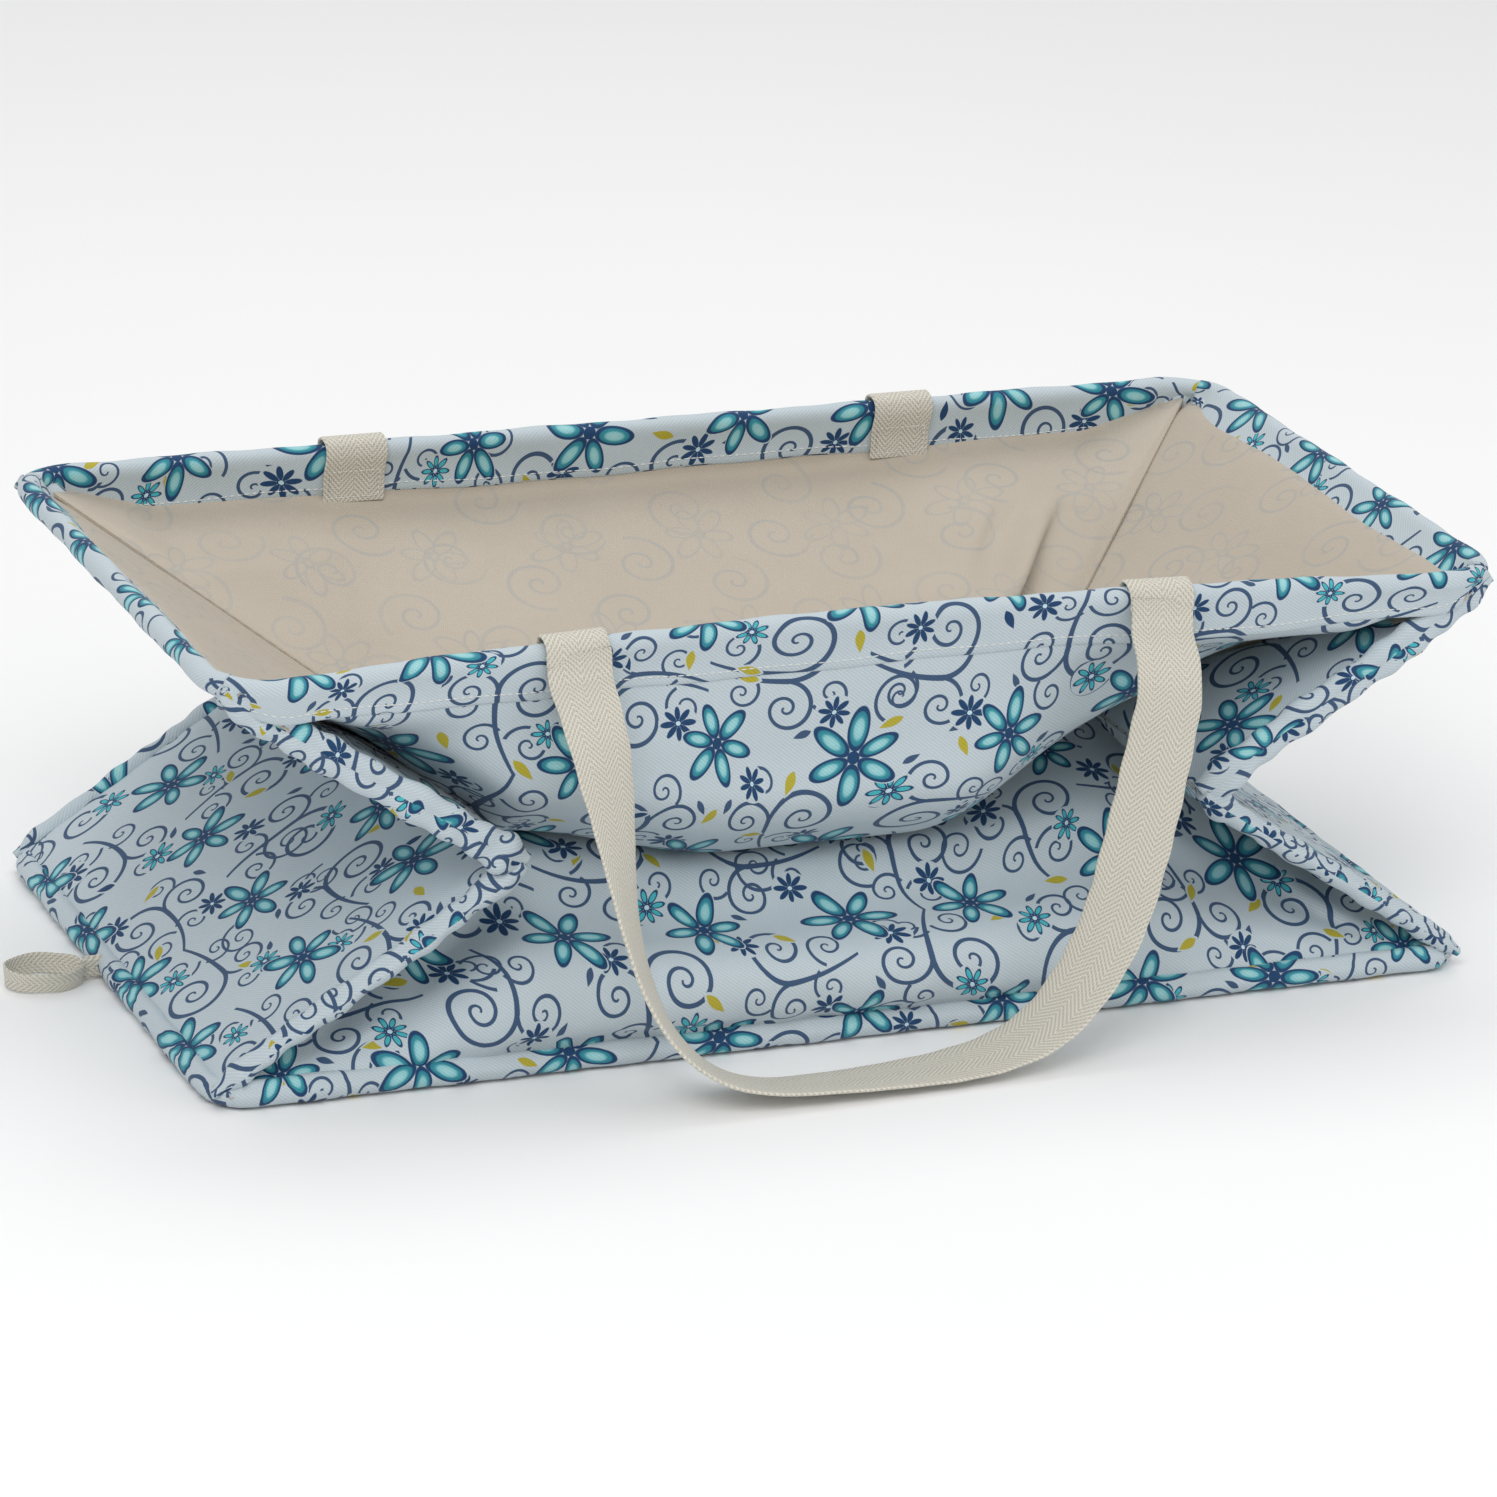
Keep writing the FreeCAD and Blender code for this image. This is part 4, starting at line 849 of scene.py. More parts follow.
# -------------------------------------------------------------- end-panel halves
def panel(end, level):
    sx = -1.0 if end == "left" else 1.0
    up = 1.0 if level == "lower" else -1.0
    h0 = hz if level == "lower" else rz
    u = np.array([-sx * S, 0, up * C])
    n_in = np.array([-sx * C, 0, -up * S])
    vdir = np.array([0, 1.0, 0])
    hinge = np.array([sx * HL, 0, h0])
    HV = HW - 4.0
    ni, nj = 60, 96
    s0 = 3.0 if level == "lower" else 6.0
    s = np.concatenate([np.linspace(s0, PA - 6, ni - 6), PA - 6 + 6 * np.sin(np.linspace(0, math.pi / 2, 7)[1:])])
    y = np.linspace(-HV, HV, nj)
    SS, Y = np.meshgrid(s, y, indexing="ij")
    seed = {"left": 31, "right": 47}[end] + (0 if level == "lower" else 3)
    edge = np.minimum(np.minimum(SS - s0, PA - SS), HV - np.abs(Y))
    puff = 0.9 + 2.1 * sstep(0, 12, edge)
    wav = 0.9 * wob(SS, Y, seed, 90) * sstep(2, 24, edge) + 0.35 * wob(SS, Y, seed + 1, 30) * sstep(2, 18, edge)
    # slight dip along the board's edge and a shallow roll in the boarded field
    To = puff + np.maximum(wav, -0.8) + 0.25
    Ti = 0.35 + 2.65 * sstep(0, 12, edge) + np.maximum(0.6 * wob(SS, Y, seed + 2, 70) * sstep(2, 20, edge), -0.7)
    mid = hinge + SS[..., None] * u + Y[..., None] * vdir
    A = mid - n_in * To[..., None]
    B = mid + n_in * Ti[..., None]
    V = np.concatenate([A.reshape(-1, 3), B.reshape(-1, 3)])
    vv = SS if level == "lower" else 330 - SS
    UVa = np.stack([Y + (1800.0 if end == "left" else 2700.0), vv], -1)
    U = np.concatenate([UVa.reshape(-1, 2)] * 2)
    off = ni * nj
    F, M = [], []
    test = np.cross(A[1, 0] - A[0, 0], A[0, 1] - A[0, 0])
    pos = np.dot(test, -n_in) > 0
    for i in range(ni - 1):
        for j in range(nj - 1):
            a, b, c_, d = i * nj + j, (i + 1) * nj + j, (i + 1) * nj + j + 1, i * nj + j + 1
            F.append((a, b, c_, d) if pos else (d, c_, b, a)); M.append(0)
            F.append((off + d, off + c_, off + b, off + a) if pos else (off + a, off + b, off + c_, off + d)); M.append(1)
    ring = [i * nj for i in range(ni)] + [(ni - 1) * nj + j for j in range(1, nj)] + \
           [i * nj + nj - 1 for i in range(ni - 2, -1, -1)] + [j for j in range(nj - 2, 0, -1)]
    for k in range(len(ring)):
        a, b = ring[k], ring[(k + 1) % len(ring)]
        F.append((b, a, off + a, off + b) if pos else (a, b, off + b, off + a)); M.append(0)
    ob = mesh("%s_%s_panel" % (end, level), V, F, U, [M_PRINT, M_LINE], M)
    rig.ride(ob, "%s_%s" % (end, level))
    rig.replaces(ob, "%s_%s_cloth" % (end, level), "%s_%s_lining" % (end, level))
    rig.slot(ob, "print_fabric")
    # pinched seams down both edges: a puckered welt
    for tag, sg in (("front", -1.0), ("back", 1.0)):
        n = 150
        ss = np.linspace(1.0, PA + 1.0, n)
        rng = np.random.default_rng(seed + (5 if sg > 0 else 9))
        ph = rng.uniform(0, 6.28, 4)
        puck = 0.75 * np.sin(ss / 3.1 + 1.5 * np.sin(ss / 17.0 + ph[0]) + ph[1]) + 0.55 * np.sin(ss / 7.7 + ph[2])
        env = 0.45 + 0.55 * sstep(0, 16, ss - 1.0) * (1 - 0.35 * sstep(PA - 14, PA, ss))
        yy = sg * (HW - 4.5) + 0.9 * np.sin(ss / 23.0 + ph[3])
        path = hinge + ss[:, None] * u + np.stack([0 * ss, yy, 0 * ss], -1) - n_in * (0.6 * np.sin(ss / 29.0))[:, None]
        m = 20
        secs = np.zeros((n, m, 2))
        for i in range(n):
            a = np.linspace(0, 2 * math.pi, m, endpoint=False)
            knot = 1.9 * math.exp(-((ss[i] - (PA - 11)) / 6.0) ** 2)
            if level == "upper":
                # the wall's and the panel's edges roll side by side
                ry = (5.2 + puck[i] + knot) * env[i]
                rn = (8.0 + 0.8 * puck[i] + knot) * env[i]
                dent = 1 - 0.42 * np.exp(-((np.angle(np.exp(1j * (a - 0.12 * math.sin(ss[i] / 9.0))))) / 0.40) ** 2)
            else:
                ry = (5.6 + puck[i] + knot) * env[i]
                rn = (5.2 + 0.6 * puck[i] + knot) * env[i]
                # a crease line along the outer side of the welt
                dent = 1 - 0.24 * np.exp(-((np.angle(np.exp(1j * (a - 0.9)))) / 0.33) ** 2)
            secs[i] = np.stack([np.cos(a) * ry * dent, np.sin(a) * rn * dent], -1)
        yd = np.repeat((vdir * sg)[None], n, 0)
        zd = np.repeat((-n_in)[None], n, 0)
        rib = sweep("%s_%s_seam_%s" % (end, level, tag), path, yd, zd, secs, [M_PRINT], uv0=(400.0 + seed * 3, sg * 50))
        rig.ride(rib, "%s_%s" % (end, level))
        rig.replaces(rib, "%s_%s_rib_%s" % (end, level, tag))
        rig.slot(rib, "seam")


for end in ("left", "right"):
    for level in ("lower", "upper"):
        panel(end, level)


# ------------------------------------------------------------------------ hems
def rim_path(kind, n=120):
    """Points on the wire's centre line with along directions."""
    R = 25.0
    pts = []
    if kind in ("front", "back"):
        sy = -1.0 if kind == "front" else 1.0
        xs = np.linspace(-(HL - R), HL - R, n)
        ys = sy * HW + (bow(xs) if kind == "front" else 0 * xs)
        arcs = np.radians(np.linspace(0, 62, 12))[1:]
        lx = -(HL - R) - R * np.sin(arcs); ly = sy * (HW - R) + sy * R * np.cos(arcs)
        L = np.stack([lx, ly], -1)[::-1]
        Rr = np.stack([-lx, ly], -1)
        pts = np.concatenate([L, np.stack([xs, ys], -1), Rr])
    else:
        sx = -1.0 if kind == "left" else 1.0
        ys = np.linspace(-(HW - R), HW - R, n // 2)
        xs = np.full_like(ys, sx * HL)
        arcs = np.radians(np.linspace(0, 40, 8))[1:]
        ax = sx * (HL - R) + sx * R * np.cos(arcs); ay = -(HW - R) - R * np.sin(arcs)
        L = np.stack([ax, ay], -1)[::-1]
        Rr = np.stack([ax, -ay], -1)
        pts = np.concatenate([L, np.stack([xs, ys], -1), Rr])
    P = np.concatenate([pts, np.full((len(pts), 1), rz)], 1)
    T = np.gradient(P, axis=0); T /= np.linalg.norm(T, axis=1, keepdims=True)
    return P, T


def hem(kind):
    P, T = rim_path(kind)
    n = len(P)
    centre = np.array([0, 0, rz])
    inn = np.stack([-T[:, 1], T[:, 0], 0 * T[:, 0]], -1)
    sgn = np.sign(np.sum(inn * (centre - P), 1)); inn *= sgn[:, None]
    if kind in ("front", "back"):
        down = np.repeat(np.array([[0, 0, -1.0]]), n, 0)
        side = inn
    else:
        sx = -1.0 if kind == "left" else 1.0
        # the end hems lie along the leaning end panel
        down = inn * S + np.array([0, 0, -C])
        side = inn * C + np.array([0, 0, S])
    seed = {"front": 1, "back": 2, "left": 3, "right": 4}[kind] * 13
    along = np.concatenate([[0], np.cumsum(np.linalg.norm(np.diff(P, axis=0), axis=1))])
    m_arc, m_leg = 16, 9
    secs = []
    for i in range(n):
        edge = min(along[i], along[-1] - along[i])
        if kind in ("front", "back"):
            full_ = 20.5 if kind == "back" else 20.5 - 6.0 * float(sstep(150, 262, abs(P[i, 0])))
            drop = 9.0 + (full_ - 9.0) * float(sstep(6, 34, edge))
            ro = 4.5
        else:
            drop = 9.0 + (23.5 - 9.0) * float(sstep(4, 26, edge))
            ro = 5.0
        drop += 0.8 * math.sin(along[i] / 37.0 + seed) + 0.4 * math.sin(along[i] / 11.0)
        ro += 0.30 * math.sin(along[i] / 13.0 + seed) + 0.22 * math.sin(along[i] / 5.1 + 2 * seed)
        if kind == "front":
            # the hem cloth laps over itself near the middle
            ro += 0.9 * math.exp(-((P[i, 0] - 2.0) / 7.0) ** 2)
        hp = 1.35
        t = np.linspace(0, 1, m_leg)
        # outer leg (away from the middle), from the wire down to the stitched edge
        legO = np.stack([-(ro + (hp - ro) * (1 - (1 - t) ** 1.6)) - 0.7 * np.sin(math.pi * t) * math.sin(along[i] / 19.0 + seed), 1.0 + (drop - 1.0) * t], -1)
        legI = np.stack([(ro + (hp - ro) * (1 - (1 - t) ** 1.6)) + 0.6 * np.sin(math.pi * t) * math.sin(along[i] / 23.0 + 2 * seed), 1.0 + (drop - 1.0) * t], -1)
        a = np.linspace(0, math.pi, m_arc + 2)[1:-1]
        top = np.stack([ro * np.cos(a), -ro * np.sin(a) + 1.0 * 0], -1)        # inner side to outer side over the wire
        bot = np.stack([np.array([0.6, -0.6]), np.array([drop + 0.9, drop + 0.9])], -1)
        sec = np.concatenate([legI[::-1], top, legO, bot[::-1]])
        secs.append(sec)
    secs = np.array(secs)
    # the hem is the wall's own cloth turned over the wire: its coordinates run on
    x_start = {"front": -along[-1] / 2, "back": 900.0 - along[-1] / 2, "left": 1800.0 - along[-1] / 2, "right": 2700.0 - along[-1] / 2}[kind]
    ob = sweep("hem_%s_cloth" % kind, P, side, down, secs, [M_PRINT], uv0=(x_start, 0.0), uv_start=2 * PA + 34.0, uv_dir=1.0)
    body = "rim" if kind in ("front", "back") else "%s_upper" % kind
    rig.ride(ob, body)
    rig.replaces(ob, "hem_%s" % kind)
    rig.slot(ob, "hem")
    # stitches along the lower edge, both faces
    V, F = [], []
    pitch, ln = 3.7, 2.9
    k = 0
    clear = 30.0 if kind == "back" else 8.0
    dist = clear
    while dist < along[-1] - clear:
        for face in (-1, 1):
            mids = []
            for q in (dist, dist + ln * 0.5, dist + ln):
                i = int(np.clip(np.searchsorted(along, q) - 1, 0, n - 2))
                f = (q - along[i]) / (along[i + 1] - along[i])
                p = P[i] * (1 - f) + P[i + 1] * f
                s_ = side[i] * (1 - f) + side[i + 1] * f
                d_ = down[i] * (1 - f) + down[i + 1] * f
                sec = secs[i] * (1 - f) + secs[i + 1] * f
                dr = sec[:, 1].max() - 4.2
                leg = sec[:m_leg] if face > 0 else sec[-m_leg - 2:-2]
                o = leg[np.argmin(np.abs(leg[:, 1] - dr))][0]
                # interpolate the leg at that depth
                ly, lx = leg[:, 1], leg[:, 0]
                od = np.argsort(ly)
                o = np.interp(dr, ly[od], lx[od])
                mids.append((p + s_ * (o + face * (0.32 if q == dist + ln * 0.5 else 0.0)) + d_ * dr, s_ * face, d_))
            b0 = len(V)
            for (c_, s_, d_) in mids:
                w_ = 0.38
                V += [c_ - d_ * w_ - s_ * 0.35, c_ + s_ * 0.22, c_ + d_ * w_ - s_ * 0.35]
            for a_ in range(2):
                x0 = b0 + a_ * 3
                F += [(x0, x0 + 3, x0 + 4, x0 + 1), (x0 + 1, x0 + 4, x0 + 5, x0 + 2), (x0 + 2, x0 + 5, x0 + 3, x0)]
            F += [(b0, b0 + 1, b0 + 2), (b0 + 8, b0 + 7, b0 + 6)]
        dist += pitch
    st = mesh("hem_%s_stitches" % kind, np.array(V), F, None, [M_THREAD])
    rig.ride(st, body)
    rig.slot(st, "webbing")


for kind in ("front", "back", "left", "right"):
    hem(kind)


# ------------------------------------------------------------------------ base
def base_tray():
    """Underside cloth and lining as one soft-edged tray with a puckered rolled seam."""
    n = 360
    R = 16.0
    per = []
    hx, hy = HL - 3.0, HW - 3.0
    cor = [(hx - R, hy - R, 0), (-(hx - R), hy - R, 90), (-(hx - R), -(hy - R), 180), (hx - R, -(hy - R), 270)]
    pts = []
    for cx, cy, a0 in cor:
        for a in np.radians(a0 + np.linspace(0, 90, 14)):
            pts.append((cx + R * math.cos(a), cy + R * math.sin(a)))
    pts = np.array(pts + [pts[0]])
    L = np.concatenate([[0], np.cumsum(np.linalg.norm(np.diff(pts, axis=0), axis=1))])
    q = np.linspace(0, L[-1], n, endpoint=False)
    px = np.interp(q, L, pts[:, 0]); py = np.interp(q, L, pts[:, 1])
    P = np.stack([px, py, np.full(n, 6.8)], -1)
    T = np.roll(P, -1, 0) - np.roll(P, 1, 0); T /= np.linalg.norm(T, axis=1, keepdims=True)
    out = np.stack([T[:, 1], -T[:, 0], 0 * T[:, 0]], -1)
    out *= np.sign(np.sum(out * P * [1, 1, 0], 1))[:, None]
    up = np.repeat(np.array([[0, 0, 1.0]]), n, 0)
    m = 18
    secs = np.zeros((n, m, 2))
    a = np.linspace(0, 2 * math.pi, m, endpoint=False)
    for i in range(n):
        s_ = q[i]
        pk = 0.45 * math.sin(s_ / 4.7 + 1.7 * math.sin(s_ / 41.0)) + 0.35 * math.sin(s_ / 13.0)
        rr = 5.6 + pk * 0.6
        rz_ = 6.0 + 0.35 * pk
        # pinch line on the outer face, a little above the middle
        dent = 1 - 0.16 * np.exp(-((np.angle(np.exp(1j * (a - 0.75)))) / 0.28) ** 2)
        secs[i] = np.stack([np.cos(a) * rr * dent, np.clip(np.sin(a) * rz_ * dent, -6.4, 9)], -1)
    roll = sweep("base_seam_roll", P, out, up, secs, [M_PRINT], closed=True, uv0=(120.0, 640.0))
    co = verts_mm(roll)
    ang = np.tile(np.where(a > math.pi, a - 2 * math.pi, a), n)
    sidex = np.abs(co[:, 0]) / HL > np.abs(co[:, 1]) / HW
    uu = np.where(sidex, co[:, 1] + np.where(co[:, 0] < 0, 1800.0, 2700.0), co[:, 0] + np.where(co[:, 1] < 0, 0.0, 900.0))
    vv = (ang - math.pi / 2) * 5.8
    li = np.zeros(len(roll.data.loops), np.int32)
    roll.data.loops.foreach_get("vertex_index", li)
    ru, rv = uu[li], vv[li]
    # keep each face's corners together where the side or the inner seam changes
    r4 = ru.reshape(-1, 4); v4 = rv.reshape(-1, 4)
    jump = (r4.max(1) - r4.min(1)) > 60
    r4[jump] = r4[jump, :1]
    wrap = (v4.max(1) - v4.min(1)) > 20
    v4[wrap] = v4[wrap, :1]
    roll.data.uv_layers["Fabric"].data.foreach_set("uv", (np.stack([r4.ravel(), v4.ravel()], -1) * 0.01).astype(np.float32).ravel())
    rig.ride(roll, "base"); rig.replaces(roll, "base_seam_piping"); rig.slot(roll, "seam")
    # the flat of the base: print below, lining above
    nx, ny = 90, 46
    X, Y = np.meshgrid(np.linspace(-(HL - 5), HL - 5, nx), np.linspace(-(HW - 5), HW - 5, ny), indexing="ij")
    edge = np.minimum(HL - 5 - np.abs(X), HW - 5 - np.abs(Y))
    # pull the corner in round the bend
    cxs = np.clip(np.abs(X) - (HL - 21), 0, None); cys = np.clip(np.abs(Y) - (HW - 21), 0, None)
    rad = np.hypot(cxs, cys); lim = np.maximum(cxs, cys)
    k = np.where(rad > 1e-6, lim / np.maximum(rad, 1e-6), 1.0)
    X = np.where((cxs > 0) & (cys > 0), np.sign(X) * (HL - 21 + cxs * k), X)
    Y = np.where((cxs > 0) & (cys > 0), np.sign(Y) * (HW - 21 + cys * k), Y)
    zt = 5.9 + 0.25 * wob(X, Y, 91, 120) * sstep(4, 30, edge)
    zb = np.full_like(zt, 0.45)
    th = zt - zb
    Pm = np.stack([X, Y, (zt + zb) / 2], -1)
    nrm = np.zeros_like(Pm); nrm[..., 2] = 1.0
    UV = np.stack([X, Y - 400.0], -1)
    ob = shell("base_floor", Pm, UV, th, [M_LINE, M_PRINT], out_sign=1.0, nrm=nrm)
    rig.ride(ob, "base"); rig.replaces(ob, "base_cloth", "base_lining"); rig.slot(ob, "lining")


base_tray()


# --------------------------------------------------------------------- webbing
def spline(pts, n):
    pts = np.array(pts, float)
    L = np.concatenate([[0], np.cumsum(np.linalg.norm(np.diff(pts[:, :3], axis=0), axis=1))])
    q = np.linspace(0, L[-1], n)
    k = np.clip(np.searchsorted(L, q, side="right") - 1, 0, len(L) - 2)
    t = ((q - L[k]) / (L[k + 1] - L[k]))[:, None]
    p0, p1, p2, p3 = pts[np.maximum(k - 1, 0)], pts[k], pts[k + 1], pts[np.minimum(k + 2, len(pts) - 1)]
    return 0.5 * ((2 * p1) + (-p0 + p2) * t + (2 * p0 - 5 * p1 + 4 * p2 - p3) * t ** 2 + (-p0 + 3 * p1 - 3 * p2 + p3) * t ** 3), q


def ribbon(name, pts, width, thick, n=160, uv_at=0.0, pinch=0.0):
    """pts: x, y, z and the direction across the strap (3 numbers); pinch
    narrows the sewn ends."""
    c, q = spline(pts, n)
    P, A = c[:, :3], c[:, 3:6]
    T = np.gradient(P, axis=0); T /= np.linalg.norm(T, axis=1, keepdims=True)
    A = A - T * np.sum(A * T, 1)[:, None]; A /= np.linalg.norm(A, axis=1, keepdims=True)
    N = np.cross(T, A)
    m = 12
    hw, ht = width / 2, thick / 2
    y = np.concatenate([np.linspace(-hw + ht, hw - ht, m), [hw - 0.3 * ht, hw, hw - 0.3 * ht], np.linspace(hw - ht, -hw + ht, m), [-hw + 0.3 * ht, -hw, -hw + 0.3 * ht]])
    z = np.concatenate([np.full(m, ht), [0.7 * ht, 0, -0.7 * ht], np.full(m, -ht), [-0.7 * ht, 0, 0.7 * ht]])
    narrow = 1.0 - pinch * (1.0 - sstep(0.0, 7.0, np.minimum(q, q[-1] - q)))
    V = P[:, None, :] + (narrow[:, None] * y[None, :])[..., None] * A[:, None, :] + z[None, :, None] * N[:, None, :]
    # soft edge wave
    wv = 0.25 * np.sin(q / 3.3)[:, None] * (np.abs(y) > hw - ht)[None, :]
    V = V + wv[..., None] * A[:, None, :]
    mm = len(y)
    F = []
    for i in range(n - 1):
        for j in range(mm):
            F.append((i * mm + j, i * mm + (j + 1) % mm, (i + 1) * mm + (j + 1) % mm, (i + 1) * mm + j))
    F.append(tuple(range(mm - 1, -1, -1))); F.append(tuple((n - 1) * mm + j for j in range(mm)))
    U = np.stack([np.repeat(q[:, None] + uv_at, mm, 1), np.repeat(y[None], n, 0)], -1).reshape(-1, 2)
    return mesh(name, V.reshape(-1, 3), F, U, [M_WEB]), q, P


def strap_end(node, side):
    lo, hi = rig.box(node)
    cx = (lo.x + hi.x) * 500.0
    sy = -1.0 if side == "front" else 1.0
    wy = sy * HW + (float(bow(cx)) if side == "front" else 0.0)
    wdt = 30.0
    slope = (-2 * BOW * cx / (HL - 28.0) ** 2) if side == "front" else 0.0
    ax = np.array([1.0, slope, 0.0]); ax /= np.linalg.norm(ax)
    into = -sy
    pts = []
    prof_ = [(2.9, -23.5), (3.0, -19.0), (3.7, -12.0), (5.9, -3.5), (6.3, 1.0), (4.6, 5.4), (0.0, 7.0), (-4.8, 5.0), (-6.6, 0.5), (-6.7, -4.5)]
    for dy, dz in prof_:
        pts.append((cx, wy + into * dy, rz + dz, ax[0], ax[1], ax[2]))
    ob, q, P = ribbon(node + "_webbing", pts, wdt, 1.7, 60)
    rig.ride(ob, "rim"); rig.replaces(ob, node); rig.slot(ob, "webbing")
    # stitched box on the inner leg
    V, F = [], []
    def dash(p0, p1):
        d = p1 - p0; L = np.linalg.norm(d); d /= L
        nn = max(int(L / 2.6), 1)
        across = np.array([0, 0, 1.0]) if abs(d[2]) < 0.5 else ax
        nrm = np.array([0, into, 0.0])
        for k in range(nn):
            a = p0 + d * (k * L / nn); b = a + d * (L / nn * 0.72); mdl = (a + b) / 2
            b0 = len(V)
            for c_, h_ in ((a, -0.1), (mdl, 0.42), (b, -0.1)):
                V.extend([c_ - across * 0.32 - nrm * 0.3, c_ + nrm * h_, c_ + across * 0.32 - nrm * 0.3])
            for a_ in range(2):
                x0 = b0 + a_ * 3
                F.extend([(x0, x0 + 3, x0 + 4, x0 + 1), (x0 + 1, x0 + 4, x0 + 5, x0 + 2), (x0 + 2, x0 + 5, x0 + 3, x0)])
            F.extend([(b0, b0 + 1, b0 + 2), (b0 + 8, b0 + 7, b0 + 6)])
    def on(xo, dz):
        dy = np.interp(dz, [-23.5, -19, -12, -3.5], [2.9, 3.0, 3.7, 5.9]) + 0.95
        return np.array([cx, wy, rz]) + ax * xo + np.array([0, into * dy, dz])
    c4 = [(-12, -21), (12, -21), (12, -8), (-12, -8)]
    for a_, b_ in ((0, 1), (1, 2), (2, 3), (3, 0)):
        dash(on(*c4[a_]), on(*c4[b_]))
    st = mesh(node + "_stitches", np.array(V), F, None, [M_THREAD])
    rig.ride(st, "rim"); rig.slot(st, "webbing")


for x_ in ("left", "right"):
    for y_ in ("front", "back"):
        strap_end("strap_end_%s_%s" % (y_, x_), y_)


def handle(side):
    sy = -1.0 if side == "front" else 1.0
    lo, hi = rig.box("strap_end_%s_left" % side)
    xl = (lo.x + hi.x) * 500.0
    lo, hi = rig.box("strap_end_%s_right" % side)
    xr = (lo.x + hi.x) * 500.0
    yl = sy * HW + (float(bow(xl)) if side == "front" else 0.0) + sy * 6.9
    yr = sy * HW + (float(bow(xr)) if side == "front" else 0.0) + sy * 6.9
    o = sy
    # across-direction turns as the strap hangs and lies down on the floor
    if side == "front":
        pts = [(xl, yl, rz + 1, 1, 0, 0), (xl + 1, yl - 3, rz - 12, 1, .04, 0), (xl + 4, -159, 155, .97, .22, 0), (xl + 8, -166, 128, .85, .50, 0),
               (xl + 11, -172, 102, .68, .72, 0), (xl + 14, -179, 77, .52, .85, 0), (xl + 20, -187, 52, .38, .92, .05), (xl + 31, -194, 30, .25, .97, .0),
               (xl + 49, -199, 14, .15, .98, -.10), (xl + 72, -201, 6.5, .08, .99, -.16), (-36, -201.5, 4.8, 0, 1, -.12), (-8, -201, 4.6, 0, 1, -.05),
               (22, -200, 5.6, 0, 1, .05), (48, -198, 9.5, -.05, .98, .15), (70, -195, 19, -.15, .93, .30), (89, -190, 37, -.35, .84, .40),
               (104, -184, 60, -.58, .70, .35), (116, -176, 90, -.80, .52, .22), (127, -168, 126, -.93, .32, .1), (134, -162, 157, -.99, .12, .03),
               (xr - 1, yr - 4, rz - 12, -1, 0, 0), (xr, yr, rz + 1, -1, 0, 0)]
    else:
        pts = [(xl, yl, rz + 1, 1, 0, 0), (xl + 1, yl + 3, rz - 14, 1, -.05, 0), (xl + 4, 164, 150, .95, -.25, .0), (xl + 8, 171, 118, .8, -.6, .0),
               (xl + 13, 178, 84, .5, -.85, .0), (xl + 24, 185, 46, .25, -.97, .0), (xl + 48, 190, 16, .1, -.99, .05), (xl + 84, 192, 6.0, 0, -1, .1),
               (0, 193, 4.8, 0, -1, .08), (xr - 84, 192, 6.0, 0, -1, .1), (xr - 48, 190, 16, -.1, -.99, .05), (xr - 24, 185, 46, -.35, -.93, .0),
               (xr - 13, 178, 84, -.6, -.8, .0), (xr - 8, 171, 118, -.85, -.5, .0), (xr - 4, 164, 150, -1, -.2, 0), (xr - 1, yr + 3, rz - 14, -1, 0, 0), (xr, yr, rz + 1, -1, 0, 0)]
    ob, q, P = ribbon("handle_%s_webbing" % side, pts, 30.0, 1.7, 260, 80.0)
    v = verts_mm(ob)
    dist = np.minimum(np.repeat(q, len(v) // len(q)), np.repeat(q[-1] - q, len(v) // len(q)))
    w = sstep(2.0, 26.0, dist)
    weights(ob, "rim", "handle_%s" % side, w)
    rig.replaces(ob, "handle_%s" % side)
    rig.slot(ob, "webbing")


handle("front")
handle("back")


def pull_loop():
    lo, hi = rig.box("pull_loop")
    x1 = hi.x * 1000.0; x0 = lo.x * 1000.0
    y = (lo.y + hi.y) * 500.0
    z = (lo.z + hi.z) * 500.0
    # a small closed loop of tape standing on its edge
    a = np.linspace(0, 2 * math.pi, 15)
    cx, rx, ry = x0 + 19.5, 17.5, 12.5
    pts = [(x1 + 3.4, y + 1.0, z, 0, 0.1, 1), (x1 + 0.4, y + 1.5, z + 0.5, 0, 0.12, 1)]
    for t in np.linspace(25, 335, 12):
        r = math.radians(t)
        pts.append((cx + rx * math.cos(r), y + ry * math.sin(r), z + 1.35 - 0.4 * math.cos(r), 0.10 * math.cos(r), 0.25 * math.sin(r), 1))
    pts += [(x1 + 0.4, y - 1.5, z + 0.5, 0, -0.12, 1), (x1 + 3.4, y - 1.0, z, 0, -0.1, 1)]
    ob, q, P = ribbon("pull_loop_webbing", pts, 9.6, 1.2, 120, 20.0, pinch=0.3)
    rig.ride(ob, "pull_loop"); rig.replaces(ob, "pull_loop"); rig.slot(ob, "webbing")
    lo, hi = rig.box("pull_loop_tab")
    yy = (lo.y + hi.y) * 500.0
    pts = [(hi.x * 1000 + 5, yy, 6.0, 0, 0, 1), (lo.x * 1000 + 1, yy, 6.2, 0, 0, 1), (lo.x * 1000 - 3.0, yy, 6.5, 0, 0, 1)]
    ob, q, P = ribbon("pull_loop_tab_webbing", pts, 10.5, 3.4, 14, 0.0)
    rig.ride(ob, "base"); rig.replaces(ob, "pull_loop_tab"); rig.slot(ob, "webbing")


pull_loop()

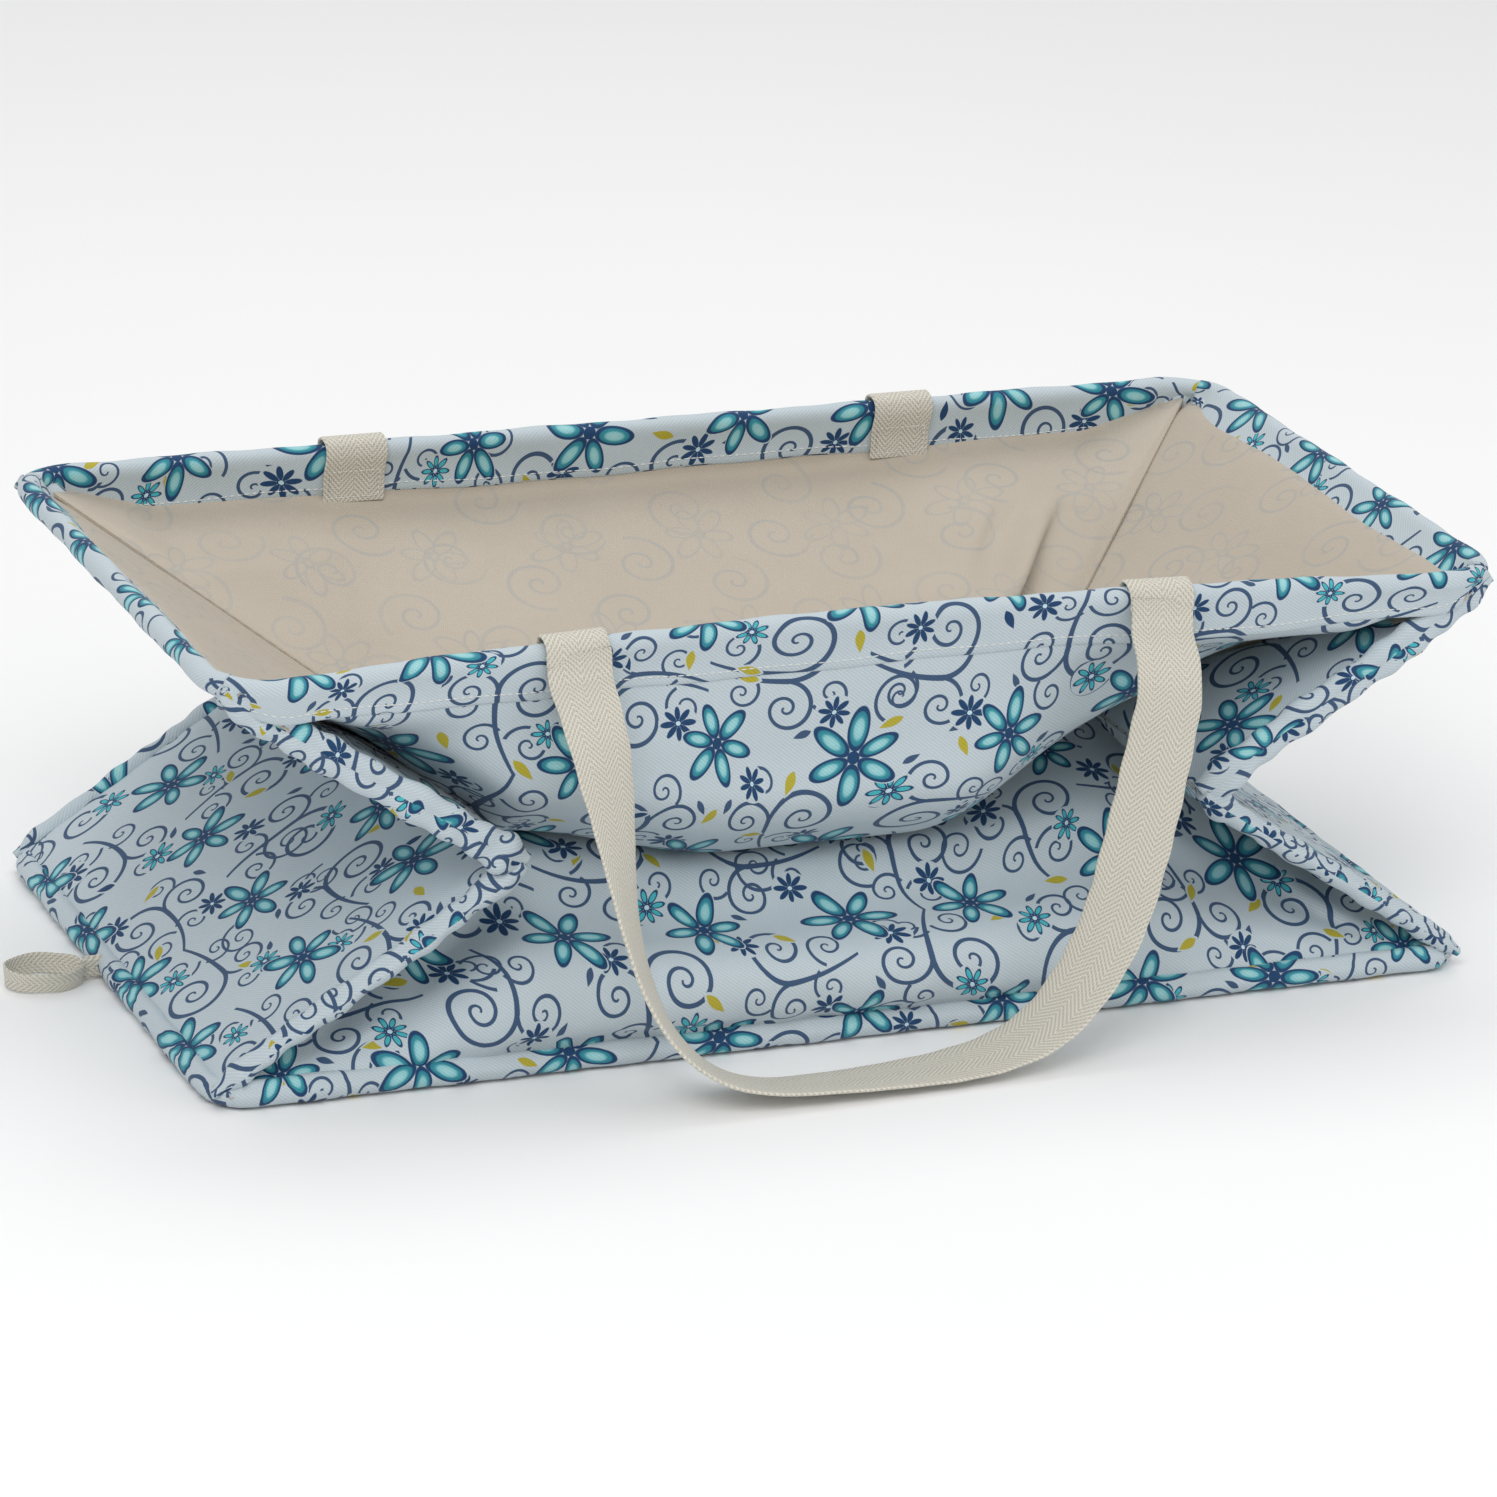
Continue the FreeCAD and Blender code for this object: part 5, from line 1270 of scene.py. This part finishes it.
# ----------------------------------------------------------- floor, light, camera
fl = bpy.data.meshes.new("floor")
fl.from_pydata([(-6, -6, 0), (6, -6, 0), (6, 6, 0), (-6, 6, 0)], [], [(0, 1, 2, 3)])
floor = bpy.data.objects.new("floor", fl)
bpy.context.scene.collection.objects.link(floor)
mf, gf = new_mat("studio_floor")
tcf = gf.t.nodes.new("ShaderNodeTexCoord")
nf = gf.noise(tcf.outputs["Object"], 3.0, 2.0)
finish(mf, gf, gf.mix(nf, (0.90, 0.90, 0.90, 1), (0.92, 0.92, 0.92, 1)), 0.75, None, 0, 0, sheen=0.0, spec=0.2)
fl.materials.append(mf)
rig.stage(floor)

world = bpy.data.worlds.new("studio")
bpy.context.scene.world = world
world.use_nodes = True
world.node_tree.nodes["Background"].inputs[0].default_value = (1.0, 1.0, 1.0, 1)
gw = G(world.node_tree)
lp = world.node_tree.nodes.new("ShaderNodeLightPath")
gw.put(world.node_tree.nodes["Background"], 1, gw.m("ADD", 0.66, gw.m("MULTIPLY", lp.outputs["Is Camera Ray"], 0.40)))


def area(name, loc, target, size, energy):
    d = bpy.data.lights.new(name, "AREA"); d.shape = "RECTANGLE"; d.size = size[0]; d.size_y = size[1]; d.energy = energy
    o = bpy.data.objects.new(name, d)
    o.location = loc
    o.rotation_euler = (Vector(target) - Vector(loc)).to_track_quat("-Z", "Y").to_euler()
    bpy.context.scene.collection.objects.link(o)


area("key", (-1.2, -1.6, 2.2), (0, 0, 0.1), (1.8, 1.4), 26.0)
area("fill", (1.9, -1.2, 1.3), (0, 0, 0.1), (1.6, 1.6), 9.0)
area("top", (0.2, 0.9, 2.2), (0, 0, 0.1), (1.8, 1.2), 13.0)

F_PX = 6770.030577219305
CR = np.array([[0.0, 0, 0], [0, 0, 0], [0, 0, 0]])
rx, ry, rzz = (math.radians(a) for a in (110.19283924, 2.6860054, 22.469953))
RX = Matrix.Rotation(rx, 3, "X"); RY = Matrix.Rotation(ry, 3, "Y"); RZ_ = Matrix.Rotation(rzz, 3, "Z")
RC = RX @ RY @ RZ_
TC = Vector((-7.53699021, 78.32677745, 3118.57159222))
pos = -(RC.transposed() @ TC) * MM
right, down_, fwd = RC[0], RC[1], RC[2]
cam_d = bpy.data.cameras.new("camera")
cam_d.sensor_width = 36.0
cam_d.lens = F_PX / 1497.0 * 36.0
cam_d.clip_end = 50.0
cam = bpy.data.objects.new("camera", cam_d)
Mx = Matrix((right, -down_, -fwd)).transposed().to_4x4()
Mx.translation = pos
cam.matrix_world = Mx
bpy.context.scene.collection.objects.link(cam)
bpy.context.scene.camera = cam
bpy.context.scene.view_settings.view_transform = "Standard"

V_LO, V_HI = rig.bounds()
try:
    with open("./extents.json", "w") as fh:
        json.dump({"cad": [list(CAD_LO), list(CAD_HI)], "visual": [list(V_LO), list(V_HI)]}, fh)
except OSError:
    pass
